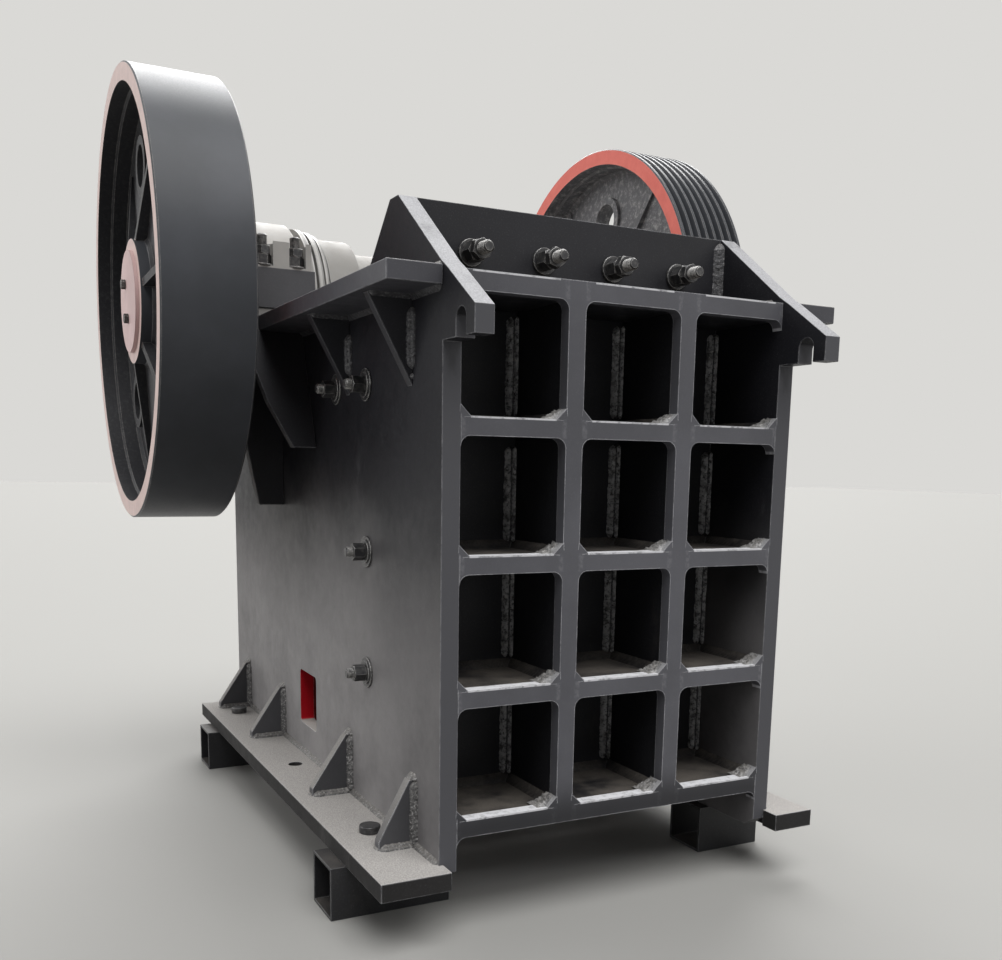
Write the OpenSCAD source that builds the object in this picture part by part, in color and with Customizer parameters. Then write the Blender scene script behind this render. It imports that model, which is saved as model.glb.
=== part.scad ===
// Single-toggle jaw crusher: a welded frame with a ribbed front wall and two thick side plates,
// an eccentric shaft that carries a plain flywheel and a grooved pulley, and a swing jaw hung on it.
// Millimetres, +Z up. X runs along the shaft, -Y is the ribbed front wall, z = 0 is the foot underside.

/* [Frame] */
// width over the two side plates
frame_w = 1300; // [1150:10:1500]
// thickness of each side plate
side_t = 60; // [40:5:80]
// length of the side plates from the front wall to the rear edge
frame_l = 2600; // [2500:10:2900]
// height of the side flange top above the foot underside
deck_z = 1836; // [1820:2:1860]
// thickness of the side flange
deck_t = 56; // [40:2:64]
// how far the side flange stands out from the side plate
deck_out = 171; // [140:1:180]
// height of the lifting ears and the front wall top
ear_z = 2090; // [2060:5:2150]
// how far the ear nose stands out in front of the front wall
nose_out = 210; // [180:5:240]

/* [Front wall] */
// width of the upright bars of the front lattice
bar_w = 60; // [40:2:80]
// height of the level bars of the front lattice
bar_h = 57; // [40:1:70]
// height of one pocket of the front lattice
pocket_h = 352.5; // [340:0.5:355]
// height of the lowest bar above the foot underside
lattice_z = 136; // [120:2:150]
// depth of the pockets, back to the wall plate
pocket_d = 350; // [250:10:380]
// thickness of the lattice plate
lattice_t = 45; // [30:5:60]
// corner radius of the lattice windows
window_r = 32; // [10:2:50]
// thickness of the ribs behind the lattice bars
rib_t = 45; // [30:1:50]
// thickness of the wall plate behind the pockets
wall_t = 70; // [50:5:90]

/* [Feet] */
// thickness of the foot plate
foot_t = 60; // [40:5:80]
// how far the foot plate reaches in front of the wall
foot_front = 70; // [50:5:100]
// distance from the rear foot hole to the rear end of the foot plate
foot_rear = 270; // [220:10:300]
// distance between the front and the middle foot holes
foot_pitch_front = 885; // [800:5:950]
// distance between the middle and the rear foot holes
foot_pitch_rear = 975; // [900:5:1000]
// distance between the two lines of foot holes
foot_span = 1480; // [1460:10:1540]
// distance from the left holes to the outer edge of the left foot plate
foot_edge_left = 125; // [90:5:150]
// distance from the right holes to the outer edge of the right foot plate
foot_edge_right = 60; // [50:5:120]
// diameter of the foot holes
foot_hole = 55; // [40:1:60]
// height of the square support tubes under the feet
tube_h = 178; // [150:2:200]
// width of the support tubes
tube_w = 186; // [150:2:200]
// wall of the support tubes
tube_t = 10; // [8:1:12]
// length of the left support tubes
tube_l_left = 415; // [395:10:445]
// length of the right support tubes
tube_l_right = 281; // [260:1:320]

/* [Shaft and wheels] */
// distance of the shaft behind the front face of the wall
shaft_y = 1782; // [1770:2:1800]
// height of the shaft
shaft_z = 1900; // [1890:2:1920]
// throw of the eccentric
ecc = 14; // [10:1:16]
// diameter of the shaft journals
journal_d = 240; // [220:2:250]
// diameter of the eccentric
ecc_d = 300; // [290:2:310]
// diameter of both wheels
wheel_d = 1720; // [1600:10:1800]
// width of the plain flywheel rim
flywheel_w = 330; // [300:5:340]
// width of the grooved pulley rim
pulley_w = 310; // [280:5:330]
// radial thickness of the wheel rims
rim_t = 66; // [60:2:90]
// number of belt grooves
grooves = 7; // [5:1:8]
// depth of the belt grooves
groove_d = 24; // [18:1:30]
// lightening holes in each wheel web, with a rib between each two
web_holes = 6; // [4:1:8]
// radius of the circle that the lightening holes lie on
hole_ring = 560; // [520:5:600]
// radius of the lightening holes
hole_r = 82; // [60:2:95]
// thickness of the wheel web
web_t = 60; // [40:5:70]

/* [Jaws] */
// width of both jaw plates
jaw_w = 1060; // [1000:10:1060]
// number of ridges on the fixed jaw plate
ridges = 10; // [8:1:14]
// thickness of a jaw plate at the ridges
jaw_t = 105; // [95:1:110]
// height of the ridges
ridge_h = 45; // [30:1:50]
// nip angle between the jaws in degrees
nip = 23.6; // [23:0.1:24]
// distance from the eccentric centre to the seat of the swing jaw plate
seat_off = 328; // [326:1:334]
// outer radius of the swing jaw barrel
barrel_r = 330; // [325:1:335]

/* [Hidden] */
// running clearance of the shaft in its bearings and of the jaw on the eccentric, radial
run_fit = 0.05;
// small clearance between round pieces and their seats
seat = 0.3;
// side clearance of the swing jaw casting to the seal rings
jaw_gap = 6;
half_w = frame_w / 2;
inner = half_w - side_t;
cols = 3;
rows = 4;
pocket_w = (2 * inner - (cols - 1) * bar_w) / cols;
level = bar_h + pocket_h;
lattice_top = lattice_z + rows * level + bar_h;
wall_back = pocket_d + wall_t;
deck_x = half_w + deck_out;
hole_x = foot_span / 2;
foot_x_left = hole_x + foot_edge_left;
foot_x_right = hole_x + foot_edge_right;
foot_y0 = -foot_front;
foot_toe = 15;
toe_cut = 30;
hole_mid = 1255;
hole_ys = [hole_mid - foot_pitch_front, hole_mid, hole_mid + foot_pitch_rear];
foot_y1 = hole_ys[2] + foot_rear;
foot_gusset_ys = [hole_ys[0] - 160, hole_ys[0] + 465, hole_ys[2] - 485, hole_ys[2] + 145];
foot_gusset_t = 40;
tube_ys = [foot_y0 + 323, foot_y1 - 385];
tube_over_left = 50;
tube_over_right = 30;
wheel_r = wheel_d / 2;
brg_in = inner;
brg_out = half_w + 210;
brg_mid = (half_w - side_t + brg_out) / 2;
belly_r = 290;
cap_r = 357;
brg_z = shaft_z + 120;
brg_half = 390;
pad_t = 34;
pad_in = 6;
nut_y = 352;
nut_half = 65;
nut_seat = 8;
flange_l = 2250;
bracket_ys = [224, 802];
bracket_t = 40;
bracket_in = 26;
bracket_z = 1512;
nose_z = 1706;
nose_h = 78;
notch_y = -122;
notch_r = 33;
jr = journal_d / 2;
er = ecc_d / 2;
ring_in = inner - 84;
jaw_half = ring_in - jaw_gap;
flywheel_x = -935;
pulley_x = 895;
rim_r = wheel_r - rim_t;
rim_step = 55;
hub_r = 240;
hub_in = 34;
disc_r = 197;
disc_in = 19;
pitch = jaw_w / ridges;
plate_lo = -1830;
plate_hi = -237;
fixed_lo = 330;
fixed_hi = 1790;
clamp_top = 2010;
clamp_d = 90;
clamp_deep = 60;
cheek_t = inner - jaw_w / 2 - 10;
cheek_lo = 480;
cheek_back = 1230;
toggle_l = -1560;
toggle_r = 45;
toggle_t = 56;
toggle_half = 440;
toggle_free = ecc + 6;
rod_z = 225;
rod_r = 28;
rod_y = 1235;
pin_r = 22;
eye_r = pin_r + ecc + 6;
eye_half = 23;
lug_in = rod_r + 8;
lug_t = 30;
beam_y = 1850;
beam_t = 100;
collar_t = 25;
coil_r = 52;
coil_wire = 16.8;
coil_pitch = 33;
coils = 8;
toggle_y = shaft_y + 10 * cos(nip) + toggle_l * sin(nip);
toggle_z = shaft_z - 10 * sin(nip) + toggle_l * cos(nip);
block_y = 1800;
block_z = 620;
rear_y = 1980;
rear_z0 = 400;
rear_z1 = 1300;
cheek_bolt_yz = [[637, 1540], [637, 976], [637, 550], [950, 1540]];
clamp_pitch = 268;
clamp_z = 1945;
stud_r = 24;
$fn = 96;

// puts a piece in the part's own frame, whose origin lies between the two middle foot holes
module placed() {
    translate([0, -hole_mid, 0])
        children();
}

// a flat outline in Y and Z, drawn out along X from x0 to x1
module along_x(x0, x1) {
    translate([x0, 0, 0])
        rotate([90, 0, 90])
            linear_extrude(x1 - x0)
                children();
}

// a flat outline in X and Z, drawn out along Y from y0 to y1
module along_y(y0, y1) {
    translate([0, y1, 0])
        rotate([90, 0, 0])
            linear_extrude(y1 - y0)
                children();
}

// a block between two corners
module block(a, b) {
    translate(a)
        cube([b[0] - a[0], b[1] - a[1], b[2] - a[2]]);
}

// a round bar along X
module bar_x(r, x0, x1, y = 0, z = 0) {
    translate([x0, y, z])
        rotate([0, 90, 0])
            cylinder(r = r, h = x1 - x0);
}

// a round bar along Y
module bar_y(r, y0, y1, x = 0, z = 0) {
    translate([x, y1, z])
        rotate([90, 0, 0])
            cylinder(r = r, h = y1 - y0);
}

// the same piece on the right-hand side, or on both
module right() {
    mirror([1, 0, 0])
        children();
}
module both() {
    children();
    right()
        children();
}

// washer, hexagon nut and stud end, seated at z = 0 and standing up
module stud_end(r = stud_r, over = 20) {
    cylinder(r = 2.3 * r, h = 12);
    translate([0, 0, 12])
        cylinder(r = 1.6 * r, h = 2 * r, $fn = 6);
    cylinder(r = r, h = 12 + 2 * r + over);
}

// washer, tall hexagon nut, lock nut and stud end
module double_nut(r = stud_r) {
    cylinder(r = 2.4 * r, h = 12);
    translate([0, 0, 12])
        cylinder(r = 1.9 * r, h = 62, $fn = 6);
    translate([0, 0, 74])
        rotate([0, 0, 20])
            cylinder(r = 1.75 * r, h = 32, $fn = 6);
    cylinder(r = r, h = 150);
}

// rounded window outline
module window(w, h, r) {
    translate([r, r])
        circle(r = r);
    translate([w - r, r])
        circle(r = r);
    translate([r, h - r])
        circle(r = r);
    translate([w - r, h - r])
        circle(r = r);
    translate([r, 0])
        square([w - 2 * r, h]);
    translate([0, r])
        square([w, h - 2 * r]);
}

// the lattice plate: twelve rounded windows between the side plates
module front_lattice() {
    color("#4b4c50") placed()
        along_y(0, lattice_t)
            difference() {
                translate([-inner, lattice_z - window_r])
                    square([2 * inner, lattice_top - lattice_z + window_r]);
                for (c = [0 : cols - 1])
                    for (r = [0 : rows - 1])
                        translate([-inner + c * (pocket_w + bar_w), lattice_z + bar_h + r * level])
                            window(pocket_w, pocket_h, window_r);
                translate([-inner, lattice_z - 200])
                    window(2 * inner, 200, window_r);
            }
}

// upright ribs behind the lattice bars
module front_uprights() {
    color("#47484c") placed()
        for (c = [1 : cols - 1])
            translate([-inner + c * (pocket_w + bar_w) - bar_w / 2 - rib_t / 2, lattice_t, lattice_z])
                cube([rib_t, pocket_d - lattice_t, lattice_top - lattice_z]);
}

// level ribs between the uprights
module front_levels() {
    gap = (bar_w - rib_t) / 2;
    color("#47484c") placed()
        for (c = [0 : cols - 1])
            for (r = [0 : rows]) {
                x0 = -inner + c * (pocket_w + bar_w) - (c > 0 ? gap : 0);
                x1 = -inner + c * (pocket_w + bar_w) + pocket_w + (c < cols - 1 ? gap : 0);
                t = r == rows ? bar_h : rib_t;
                z0 = r == rows ? lattice_z + r * level : lattice_z + r * level + (bar_h - rib_t) / 2;
                block([x0, lattice_t, z0], [x1, pocket_d, z0 + t]);
            }
}

// wall plate behind the pockets, up to the ear tops
module front_wall() {
    color("#47484c") placed()
        difference() {
            block([-inner, pocket_d, lattice_z], [inner, wall_back, ear_z]);
            for (i = [-1.5 : 1 : 1.5])
                bar_y(stud_r + 1, pocket_d - 1, wall_back + 1, i * clamp_pitch, clamp_z);
        }
}

// four studs that draw the jaw clamp to the wall
module clamp_bolts() {
    color("#26272a") placed()
        for (i = [-1.5 : 1 : 1.5]) {
            translate([i * clamp_pitch, pocket_d, clamp_z])
                rotate([90, 0, 0])
                    double_nut();
            bar_y(stud_r, pocket_d - 10, wall_back + clamp_deep, i * clamp_pitch, clamp_z);
        }
}

// clamp bar that holds the fixed jaw plate down from above
module jaw_clamp() {
    color("#55565a") placed()
        difference() {
            block([-jaw_w / 2, wall_back, fixed_hi], [jaw_w / 2, wall_back + clamp_d, clamp_top]);
            for (i = [-1.5 : 1 : 1.5])
                bar_y(stud_r, wall_back - 1, wall_back + clamp_deep, i * clamp_pitch, clamp_z);
        }
}

// outline of a side plate with its lifting ear at the front
module side_outline() {
    difference() {
        polygon([
            [0, toe_cut],
            [1.5 * toe_cut, 0],
            [foot_y1, 0],
            [foot_y1, foot_t],
            [frame_l, foot_t],
            [frame_l, 1250],
            [flange_l + 57, deck_z],
            [686, deck_z],
            [wall_back - 5, ear_z],
            [pocket_d - 5, ear_z],
            [15, nose_z + 144],
            [-28, nose_z + 119],
            [-nose_out, nose_z],
            [-nose_out, nose_z - nose_h],
            [0, nose_z - nose_h]
        ]);
        translate([notch_y - notch_r, nose_z - nose_h - 18])
            square([2 * notch_r, nose_h - 14]);
        translate([notch_y, nose_z - 32])
            circle(r = notch_r);
        translate([shaft_y, shaft_z])
            circle(r = belly_r);
        translate([1252, 182])
            window(225, 228, 20);
        for (p = cheek_bolt_yz)
            translate(p)
                circle(r = stud_r + 1);
    }
}

module side_plate_left() {
    color("#3f4044") placed()
        along_x(-half_w, -inner)
            side_outline();
}

module side_plate_right() {
    color("#3f4044") placed()
        along_x(inner, half_w)
            side_outline();
}

// flange along the top of a side plate, broken by the bearing belly
module side_flange_left() {
    color("#4b4c50") placed()
        difference() {
            block([-deck_x, 0, deck_z - deck_t], [-half_w, flange_l, deck_z]);
            bar_x(belly_r, -deck_x - 1, -half_w + 1, shaft_y, shaft_z);
        }
}

module side_flange_right() {
    color("#4b4c50") placed()
        difference() {
            block([half_w, 0, deck_z - deck_t], [deck_x, flange_l, deck_z]);
            bar_x(belly_r, half_w - 1, deck_x + 1, shaft_y, shaft_z);
        }
}

// brackets under the flange and under the bearing belly
module flange_gussets() {
    for (y = bracket_ys)
        along_y(y, y + bracket_t)
            polygon([
                [-half_w, bracket_z],
                [-deck_x + bracket_in, deck_z - deck_t],
                [-half_w, deck_z - deck_t]
            ]);
    bearing_strut(1);
    bearing_strut(-1);
    difference() {
        along_y(shaft_y - 100, shaft_y - 45)
            polygon([
                [-half_w, 1093],
                [-half_w - 107, 1093],
                [-half_w - 153, 1335],
                [-brg_out, 1640],
                [-brg_out, 1700],
                [-half_w, 1700]
            ]);
        bar_x(belly_r, -brg_out - 1, -half_w + 1, shaft_y, shaft_z);
    }
}

// leaning strut from the front or rear edge of a bearing housing down to the side plate
module bearing_strut(side) {
    edge = shaft_y - side * brg_half;
    difference() {
        intersection() {
            along_x(-brg_out, -half_w)
                polygon([
                    [edge, deck_z],
                    [edge + side * 45, deck_z],
                    [edge - side * 145, 1332],
                    [edge - side * 190, 1332]
                ]);
            along_y(edge - 200, edge + 200)
                polygon([
                    [-half_w, 1332],
                    [-half_w - 92, 1332],
                    [-half_w - 170, 1499],
                    [-brg_out, 1640],
                    [-brg_out, deck_z],
                    [-half_w, deck_z]
                ]);
        }
        block([-deck_x - 1, edge - 300, deck_z - deck_t - 1], [-half_w + 1, edge + 300, deck_z + 1]);
    }
}

module flange_gussets_left() {
    color("#3a3b3f") placed()
        flange_gussets();
}

module flange_gussets_right() {
    color("#3a3b3f") placed()
        right()
            flange_gussets();
}

// foot plate with three holes
module foot(out_x) {
    difference() {
        union() {
            block([-out_x, foot_y0, 0], [-half_w, foot_y1, foot_t]);
            block([-half_w - 1, foot_y0, 0], [-half_w + foot_toe, 0, foot_t]);
        }
        for (y = hole_ys)
            translate([-hole_x, y, -1])
                cylinder(d = foot_hole, h = foot_t + 2);
    }
}

module foot_left() {
    color("#8a8378") placed()
        foot(foot_x_left);
}

module foot_right() {
    color("#8a8378") placed()
        right()
            foot(foot_x_right);
}

// upright gussets between foot plate and side plate
module foot_gussets(front_run, run) {
    for (y = foot_gusset_ys) {
        out = y < hole_ys[0] ? front_run : run;
        along_y(y - foot_gusset_t / 2, y + foot_gusset_t / 2)
            polygon([
                [-half_w, foot_t],
                [-half_w - out, foot_t],
                [-half_w - out, foot_t + 28],
                [-half_w - 22, foot_t + 222],
                [-half_w, foot_t + 222]
            ]);
    }
}

module foot_gussets_left() {
    color("#3a3b3f") placed()
        foot_gussets(foot_x_left - half_w - 90, foot_x_left - half_w - 63);
}

module foot_gussets_right() {
    color("#3a3b3f") placed()
        right()
            foot_gussets(foot_x_right - half_w - 40, foot_x_right - half_w - 40);
}

// anchor plugs in the four corner holes
module foot_plugs() {
    color("#1d1e20") placed()
        both()
            for (y = [hole_ys[0], hole_ys[2]])
                translate([-hole_x, y, foot_t]) {
                    cylinder(r = 36, h = 26);
                    translate([0, 0, -foot_t + 2])
                        cylinder(d = foot_hole - 2, h = foot_t);
                }
}

// hollow square tubes under the foot corners
module support_tubes(outer, length) {
    for (y = tube_ys)
        translate([-outer, y, -tube_h])
            difference() {
                cube([length, tube_w, tube_h]);
                translate([-1, tube_t, tube_t])
                    cube([length + 2, tube_w - 2 * tube_t, tube_h - 2 * tube_t]);
            }
}

module support_tubes_left() {
    color("#2a2b2e") placed()
        support_tubes(foot_x_left + tube_over_left, tube_l_left);
}

module support_tubes_right() {
    color("#2a2b2e") placed()
        right()
            support_tubes(foot_x_right + tube_over_right, tube_l_right);
}

// rear wall plate that takes the toggle thrust
module rear_wall() {
    color("#3f4044") placed()
        block([-inner, rear_y, rear_z0], [inner, rear_y + 70, rear_z1]);
}

// ribs behind the rear wall
module rear_ribs() {
    y0 = rear_y + 70;
    y1 = frame_l - 60;
    w = (2 * inner - 2 * bar_w) / 3;
    color("#3f4044") placed() {
        for (z = [rear_z0, (rear_z0 + rear_z1) / 2 - 25, rear_z1 - 50])
            block([-inner, y0, z], [inner, y1, z + 50]);
        for (s = [-1, 1])
            for (z = [rear_z0 + 50, (rear_z0 + rear_z1) / 2 + 25])
                block([s * (w + bar_w) / 2 - 25, y0, z], [s * (w + bar_w) / 2 + 25, y1 - 40, z + 375]);
    }
}

// seat block for the rear end of the toggle plate
module toggle_block() {
    color("#55565a") placed()
        difference() {
            block([-inner, block_y, block_z - 150], [inner, rear_y, block_z + 150]);
            bar_x(toggle_r + seat, -inner - 1, inner + 1, block_y, block_z);
        }
}

// toggle plate with a rounded roll along each end
module toggle_plate() {
    dy = block_y - toggle_y;
    dz = block_z - toggle_z;
    span = sqrt(dy * dy + dz * dz);
    color("#a8321f") placed()
        translate([0, toggle_y, toggle_z])
            rotate([atan2(dz, dy), 0, 0])
                union() {
                    bar_x(toggle_r, -toggle_half, toggle_half, 0, 0);
                    bar_x(toggle_r, -toggle_half, toggle_half, span, 0);
                    block([-toggle_half, 0, -toggle_t / 2], [toggle_half, span, toggle_t / 2]);
                }
}

// beam across the frame that carries the tension rod
module tension_beam() {
    color("#c22d1c") placed()
        difference() {
            block([-inner, beam_y, 62], [inner, beam_y + beam_t, 345]);
            bar_y(rod_r + 8, beam_y - 1, beam_y + beam_t + 1, 0, rod_z);
        }
}

// tension rod through the beam, with a collar at each end of its spring
module tension_rod() {
    y1 = beam_y + beam_t;
    y2 = y1 + collar_t + 2 * seat + 2 * coil_wire + (coils - 1) * coil_pitch;
    color("#2c2d30") placed() {
        difference() {
            union() {
                bar_y(rod_r, rod_y + 10, y2 + collar_t + 65, 0, rod_z);
                bar_x(eye_r + 26, -eye_half, eye_half, rod_y, rod_z);
            }
            bar_x(eye_r, -rod_r - 1, rod_r + 1, rod_y, rod_z);
        }
        bar_y(75, y1, y1 + collar_t, 0, rod_z);
        bar_y(75, y2, y2 + collar_t, 0, rod_z);
        translate([0, y2 + collar_t, rod_z])
            rotate([-90, 0, 0])
                cylinder(r = 52, h = 46, $fn = 6);
    }
}

// coil spring on the tension rod, drawn as a stack of rings
module tension_spring() {
    color("#9c2c1e") placed()
        for (i = [0 : coils - 1])
            translate([0, beam_y + beam_t + collar_t + seat + coil_wire + i * coil_pitch, rod_z])
                rotate([90, 0, 0])
                    rotate_extrude()
                        translate([coil_r, 0])
                            circle(r = coil_wire, $fn = 24);
}

// ridged outline of a jaw plate: flat back at y = 0, ridges towards -Y
module ridged(n, first) {
    polygon(concat(
        [[jaw_w / 2, 0]],
        [[-jaw_w / 2, 0]],
        [[-jaw_w / 2, -jaw_t + (first ? ridge_h : 0)]],
        [for (i = [0 : n - 1]) for (k = [0 : 3])
            [-jaw_w / 2 + pitch * (i + 0.12 + 0.25 * k),
             -jaw_t + ((k == 1 || k == 2) == first ? 0 : ridge_h)]],
        [[jaw_w / 2, -jaw_t + (first ? ridge_h : 0)]]
    ));
}

module fixed_jaw_plate() {
    color("#6e6a63") placed()
        translate([0, wall_back, fixed_lo])
            mirror([0, 1, 0])
                linear_extrude(fixed_hi - fixed_lo)
                    ridged(ridges, true);
}

// places a piece in the frame of the swing jaw, at the eccentric centre and along the nip angle
module on_jaw() {
    translate([0, shaft_y, shaft_z - ecc])
        rotate([-nip, 0, 0])
            children();
}

module swing_jaw_plate() {
    color("#6e6a63") placed()
        on_jaw()
            translate([0, -seat_off, plate_lo])
                linear_extrude(plate_hi - plate_lo)
                    ridged(ridges, false);
}

// side liners of the crushing chamber
module cheek_outline() {
    difference() {
        polygon([
            [wall_back + jaw_t + 5, cheek_lo],
            [700, cheek_lo],
            [cheek_back, 1700],
            [cheek_back, fixed_hi],
            [wall_back + jaw_t + 5, fixed_hi]
        ]);
        for (p = cheek_bolt_yz)
            translate(p)
                circle(r = stud_r);
    }
}

module cheek_plate_left() {
    color("#6e6a63") placed()
        along_x(-inner, -inner + cheek_t)
            cheek_outline();
}

module cheek_plate_right() {
    color("#6e6a63") placed()
        along_x(inner - cheek_t, inner)
            cheek_outline();
}

// cheek plate bolts with washer and nut outside the side plate
module cheek_bolts() {
    for (p = cheek_bolt_yz) {
        translate([-half_w, p[0], p[1]])
            rotate([0, -90, 0])
                stud_end();
        bar_x(stud_r, -half_w - 5, -inner + cheek_t - 4, p[0], p[1]);
    }
}

module cheek_bolts_left() {
    color("#26272a") placed()
        cheek_bolts();
}

module cheek_bolts_right() {
    color("#26272a") placed()
        right()
            cheek_bolts();
}

// lower half of a bearing housing: a block and its pad on the flange, a round belly in the side plate
module bearing_base() {
    difference() {
        union() {
            block([-brg_out, shaft_y - brg_half, deck_z + pad_t], [-brg_in, shaft_y + brg_half, brg_z]);
            block([-brg_out + pad_in, shaft_y - brg_half + pad_in, deck_z],
                [-brg_in, shaft_y + brg_half - pad_in, deck_z + pad_t]);
            bar_x(belly_r, -brg_out, -brg_in, shaft_y, shaft_z);
        }
        block([-brg_out - 1, shaft_y - cap_r, brg_z], [-brg_in + 1, shaft_y + cap_r, brg_z + 300]);
        bar_x(jr + run_fit, -brg_out - 1, -brg_in + 1, shaft_y, shaft_z);
    }
}

module bearing_base_left() {
    color("#5d5e61") placed()
        bearing_base();
}

module bearing_base_right() {
    color("#5d5e61") placed()
        right()
            bearing_base();
}

// upper half of a bearing housing, with pockets for the stud nuts
module bearing_cap() {
    difference() {
        union() {
            intersection() {
                bar_x(cap_r, -brg_out, -brg_in - 40, shaft_y, shaft_z);
                block([-brg_out, shaft_y - cap_r, brg_z], [-brg_in, shaft_y + cap_r, brg_z + 300]);
            }
            intersection() {
                translate([-brg_in - 40, shaft_y, shaft_z])
                    rotate([0, 90, 0])
                        cylinder(r1 = cap_r, r2 = cap_r - 45, h = 40);
                block([-brg_out, shaft_y - cap_r, brg_z], [-brg_in, shaft_y + cap_r, brg_z + 300]);
            }
            block([-brg_out, shaft_y - brg_half, brg_z], [-brg_in - 14, shaft_y + brg_half, brg_z + 100]);
        }
        bar_x(jr + run_fit, -brg_out - 1, -brg_in + 1, shaft_y, shaft_z);
        for (x = [-nut_half, nut_half])
            for (s = [-1, 1])
                translate([-brg_mid + x, shaft_y + s * nut_y, brg_z + nut_seat])
                    cylinder(r = 50, h = 300);
    }
}

module bearing_cap_left() {
    color("#b9b6ae") placed()
        bearing_cap();
}

module bearing_cap_right() {
    color("#b9b6ae") placed()
        right()
            bearing_cap();
}

// studs and nuts on the bearing caps
module bearing_studs() {
    for (x = [-nut_half, nut_half])
        for (s = [-1, 1])
            translate([-brg_mid + x, shaft_y + s * nut_y, brg_z + nut_seat]) {
                cylinder(r = 36, h = 76, $fn = 6);
                cylinder(r = 20, h = 122);
            }
}

module bearing_studs_left() {
    color("#1d1e20") placed()
        bearing_studs();
}

module bearing_studs_right() {
    color("#1d1e20") placed()
        right()
            bearing_studs();
}

// stepped seal rings between the bearings and the swing jaw
module seal_rings() {
    color("#a9a69e") placed()
        both()
            translate([-inner, shaft_y, shaft_z])
                rotate([0, 90, 0])
                    rotate_extrude()
                        polygon([
                            [er + 40, 0],
                            [345, 0],
                            [345, 24],
                            [312, 24],
                            [312, 38],
                            [338, 38],
                            [338, 60],
                            [312, 60],
                            [312, 70],
                            [330, 70],
                            [330, inner - ring_in],
                            [er + 40, inner - ring_in]
                        ]);
}

// shaft with an eccentric middle and a journal in each bearing
module eccentric_shaft() {
    color("#8d8c88") placed() {
        difference() {
            bar_x(jr, flywheel_x - flywheel_w + hub_in, pulley_x + pulley_w, shaft_y, shaft_z);
            bar_x(jr + 30, -jaw_half, jaw_half, shaft_y, shaft_z);
        }
        bar_x(er, -jaw_half - 10, jaw_half + 10, shaft_y, shaft_z - ecc);
    }
}

// wheel: rim, web, hub, ribs and lightening holes, outer face at x = 0 and body towards +X
module wheel(w, turn) {
    web_hub = 90;
    web_rim = 135;
    slope = (web_rim - web_hub) / (rim_r - hub_r);
    web_mid = web_hub + slope * (hole_ring - hub_r);
    difference() {
        union() {
            wheel_section(w, web_hub, web_rim);
            for (i = [0 : web_holes - 1])
                rotate([turn + i * 360 / web_holes, 0, 0])
                    bar_x(hole_r + 33, web_mid - 14, web_mid + web_t / 2, hole_ring, 0);
            for (i = [0 : web_holes - 1])
                rotate([turn + (i + 0.5) * 360 / web_holes, 0, 0])
                    wheel_rib(w, web_hub, web_rim);
        }
        for (i = [0 : web_holes - 1])
            rotate([turn + i * 360 / web_holes, 0, 0])
                bar_x(hole_r, 0, w, hole_ring, 0);
    }
}

// revolved section of a wheel: rim with a step inside, dished web, hub barrel and bore
module wheel_section(w, web_hub, web_rim) {
    fillet = 14;
    edge = 5;
    lip_r = rim_r - 8;
    rotate([0, 90, 0])
        rotate_extrude()
            polygon([
                [jr, hub_in],
                [hub_r, hub_in],
                [hub_r, web_hub - fillet],
                [hub_r + fillet, web_hub],
                [lip_r - fillet, web_rim],
                [lip_r, web_rim - fillet],
                [lip_r, rim_step + 8],
                [rim_r, rim_step],
                [rim_r, 0],
                [wheel_r - edge, 0],
                [wheel_r, edge],
                [wheel_r, w - edge],
                [wheel_r - edge, w],
                [rim_r, w],
                [rim_r, w - rim_step],
                [lip_r, w - rim_step - 8],
                [lip_r, web_rim + web_t + fillet],
                [lip_r - fillet, web_rim + web_t],
                [hub_r + fillet, web_hub + web_t],
                [hub_r, web_hub + web_t + fillet],
                [hub_r, w],
                [jr, w]
            ]);
}

// radial rib on both sides of the web, lower towards the rim
module wheel_rib(w, web_hub, web_rim) {
    translate([0, 0, -15])
        linear_extrude(30)
            polygon([
                [hub_in + 9, hub_r - 2],
                [web_rim - 8, rim_r - 6],
                [web_rim + web_t + 8, rim_r - 6],
                [w - 50, hub_r - 2]
            ]);
}

// plain flywheel on the left end of the shaft
module flywheel() {
    color("#4a4b4f") placed()
        translate([flywheel_x - flywheel_w, shaft_y, shaft_z])
            wheel(flywheel_w, 79);
}

// grooved pulley on the right end of the shaft
module grooved_pulley() {
    step = pulley_w / (grooves + 0.5);
    color("#4a4b4f") placed()
        translate([pulley_x, shaft_y, shaft_z])
            difference() {
                wheel(pulley_w, 90);
                for (i = [0 : grooves - 1])
                    translate([step * (i + 0.75), 0, 0])
                        rotate([0, 90, 0])
                            rotate_extrude()
                                polygon([
                                    [wheel_r - groove_d, -6],
                                    [wheel_r + 1, -15],
                                    [wheel_r + 1, 15],
                                    [wheel_r - groove_d, 6]
                                ]);
            }
}

// discs on the two ends of the shaft
module hub_discs() {
    color("#d8938c") placed()
        translate([0, shaft_y, shaft_z]) {
            difference() {
                bar_x(disc_r, flywheel_x - flywheel_w + disc_in, flywheel_x - flywheel_w + hub_in);
                for (p = [[51, 73], [6, -65]])
                    translate([flywheel_x - flywheel_w + disc_in - 1, p[0] - 13, p[1] - 13])
                        cube([9, 26, 26]);
            }
            bar_x(disc_r, pulley_x + pulley_w, pulley_x + pulley_w + hub_in - disc_in);
        }
}

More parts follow.
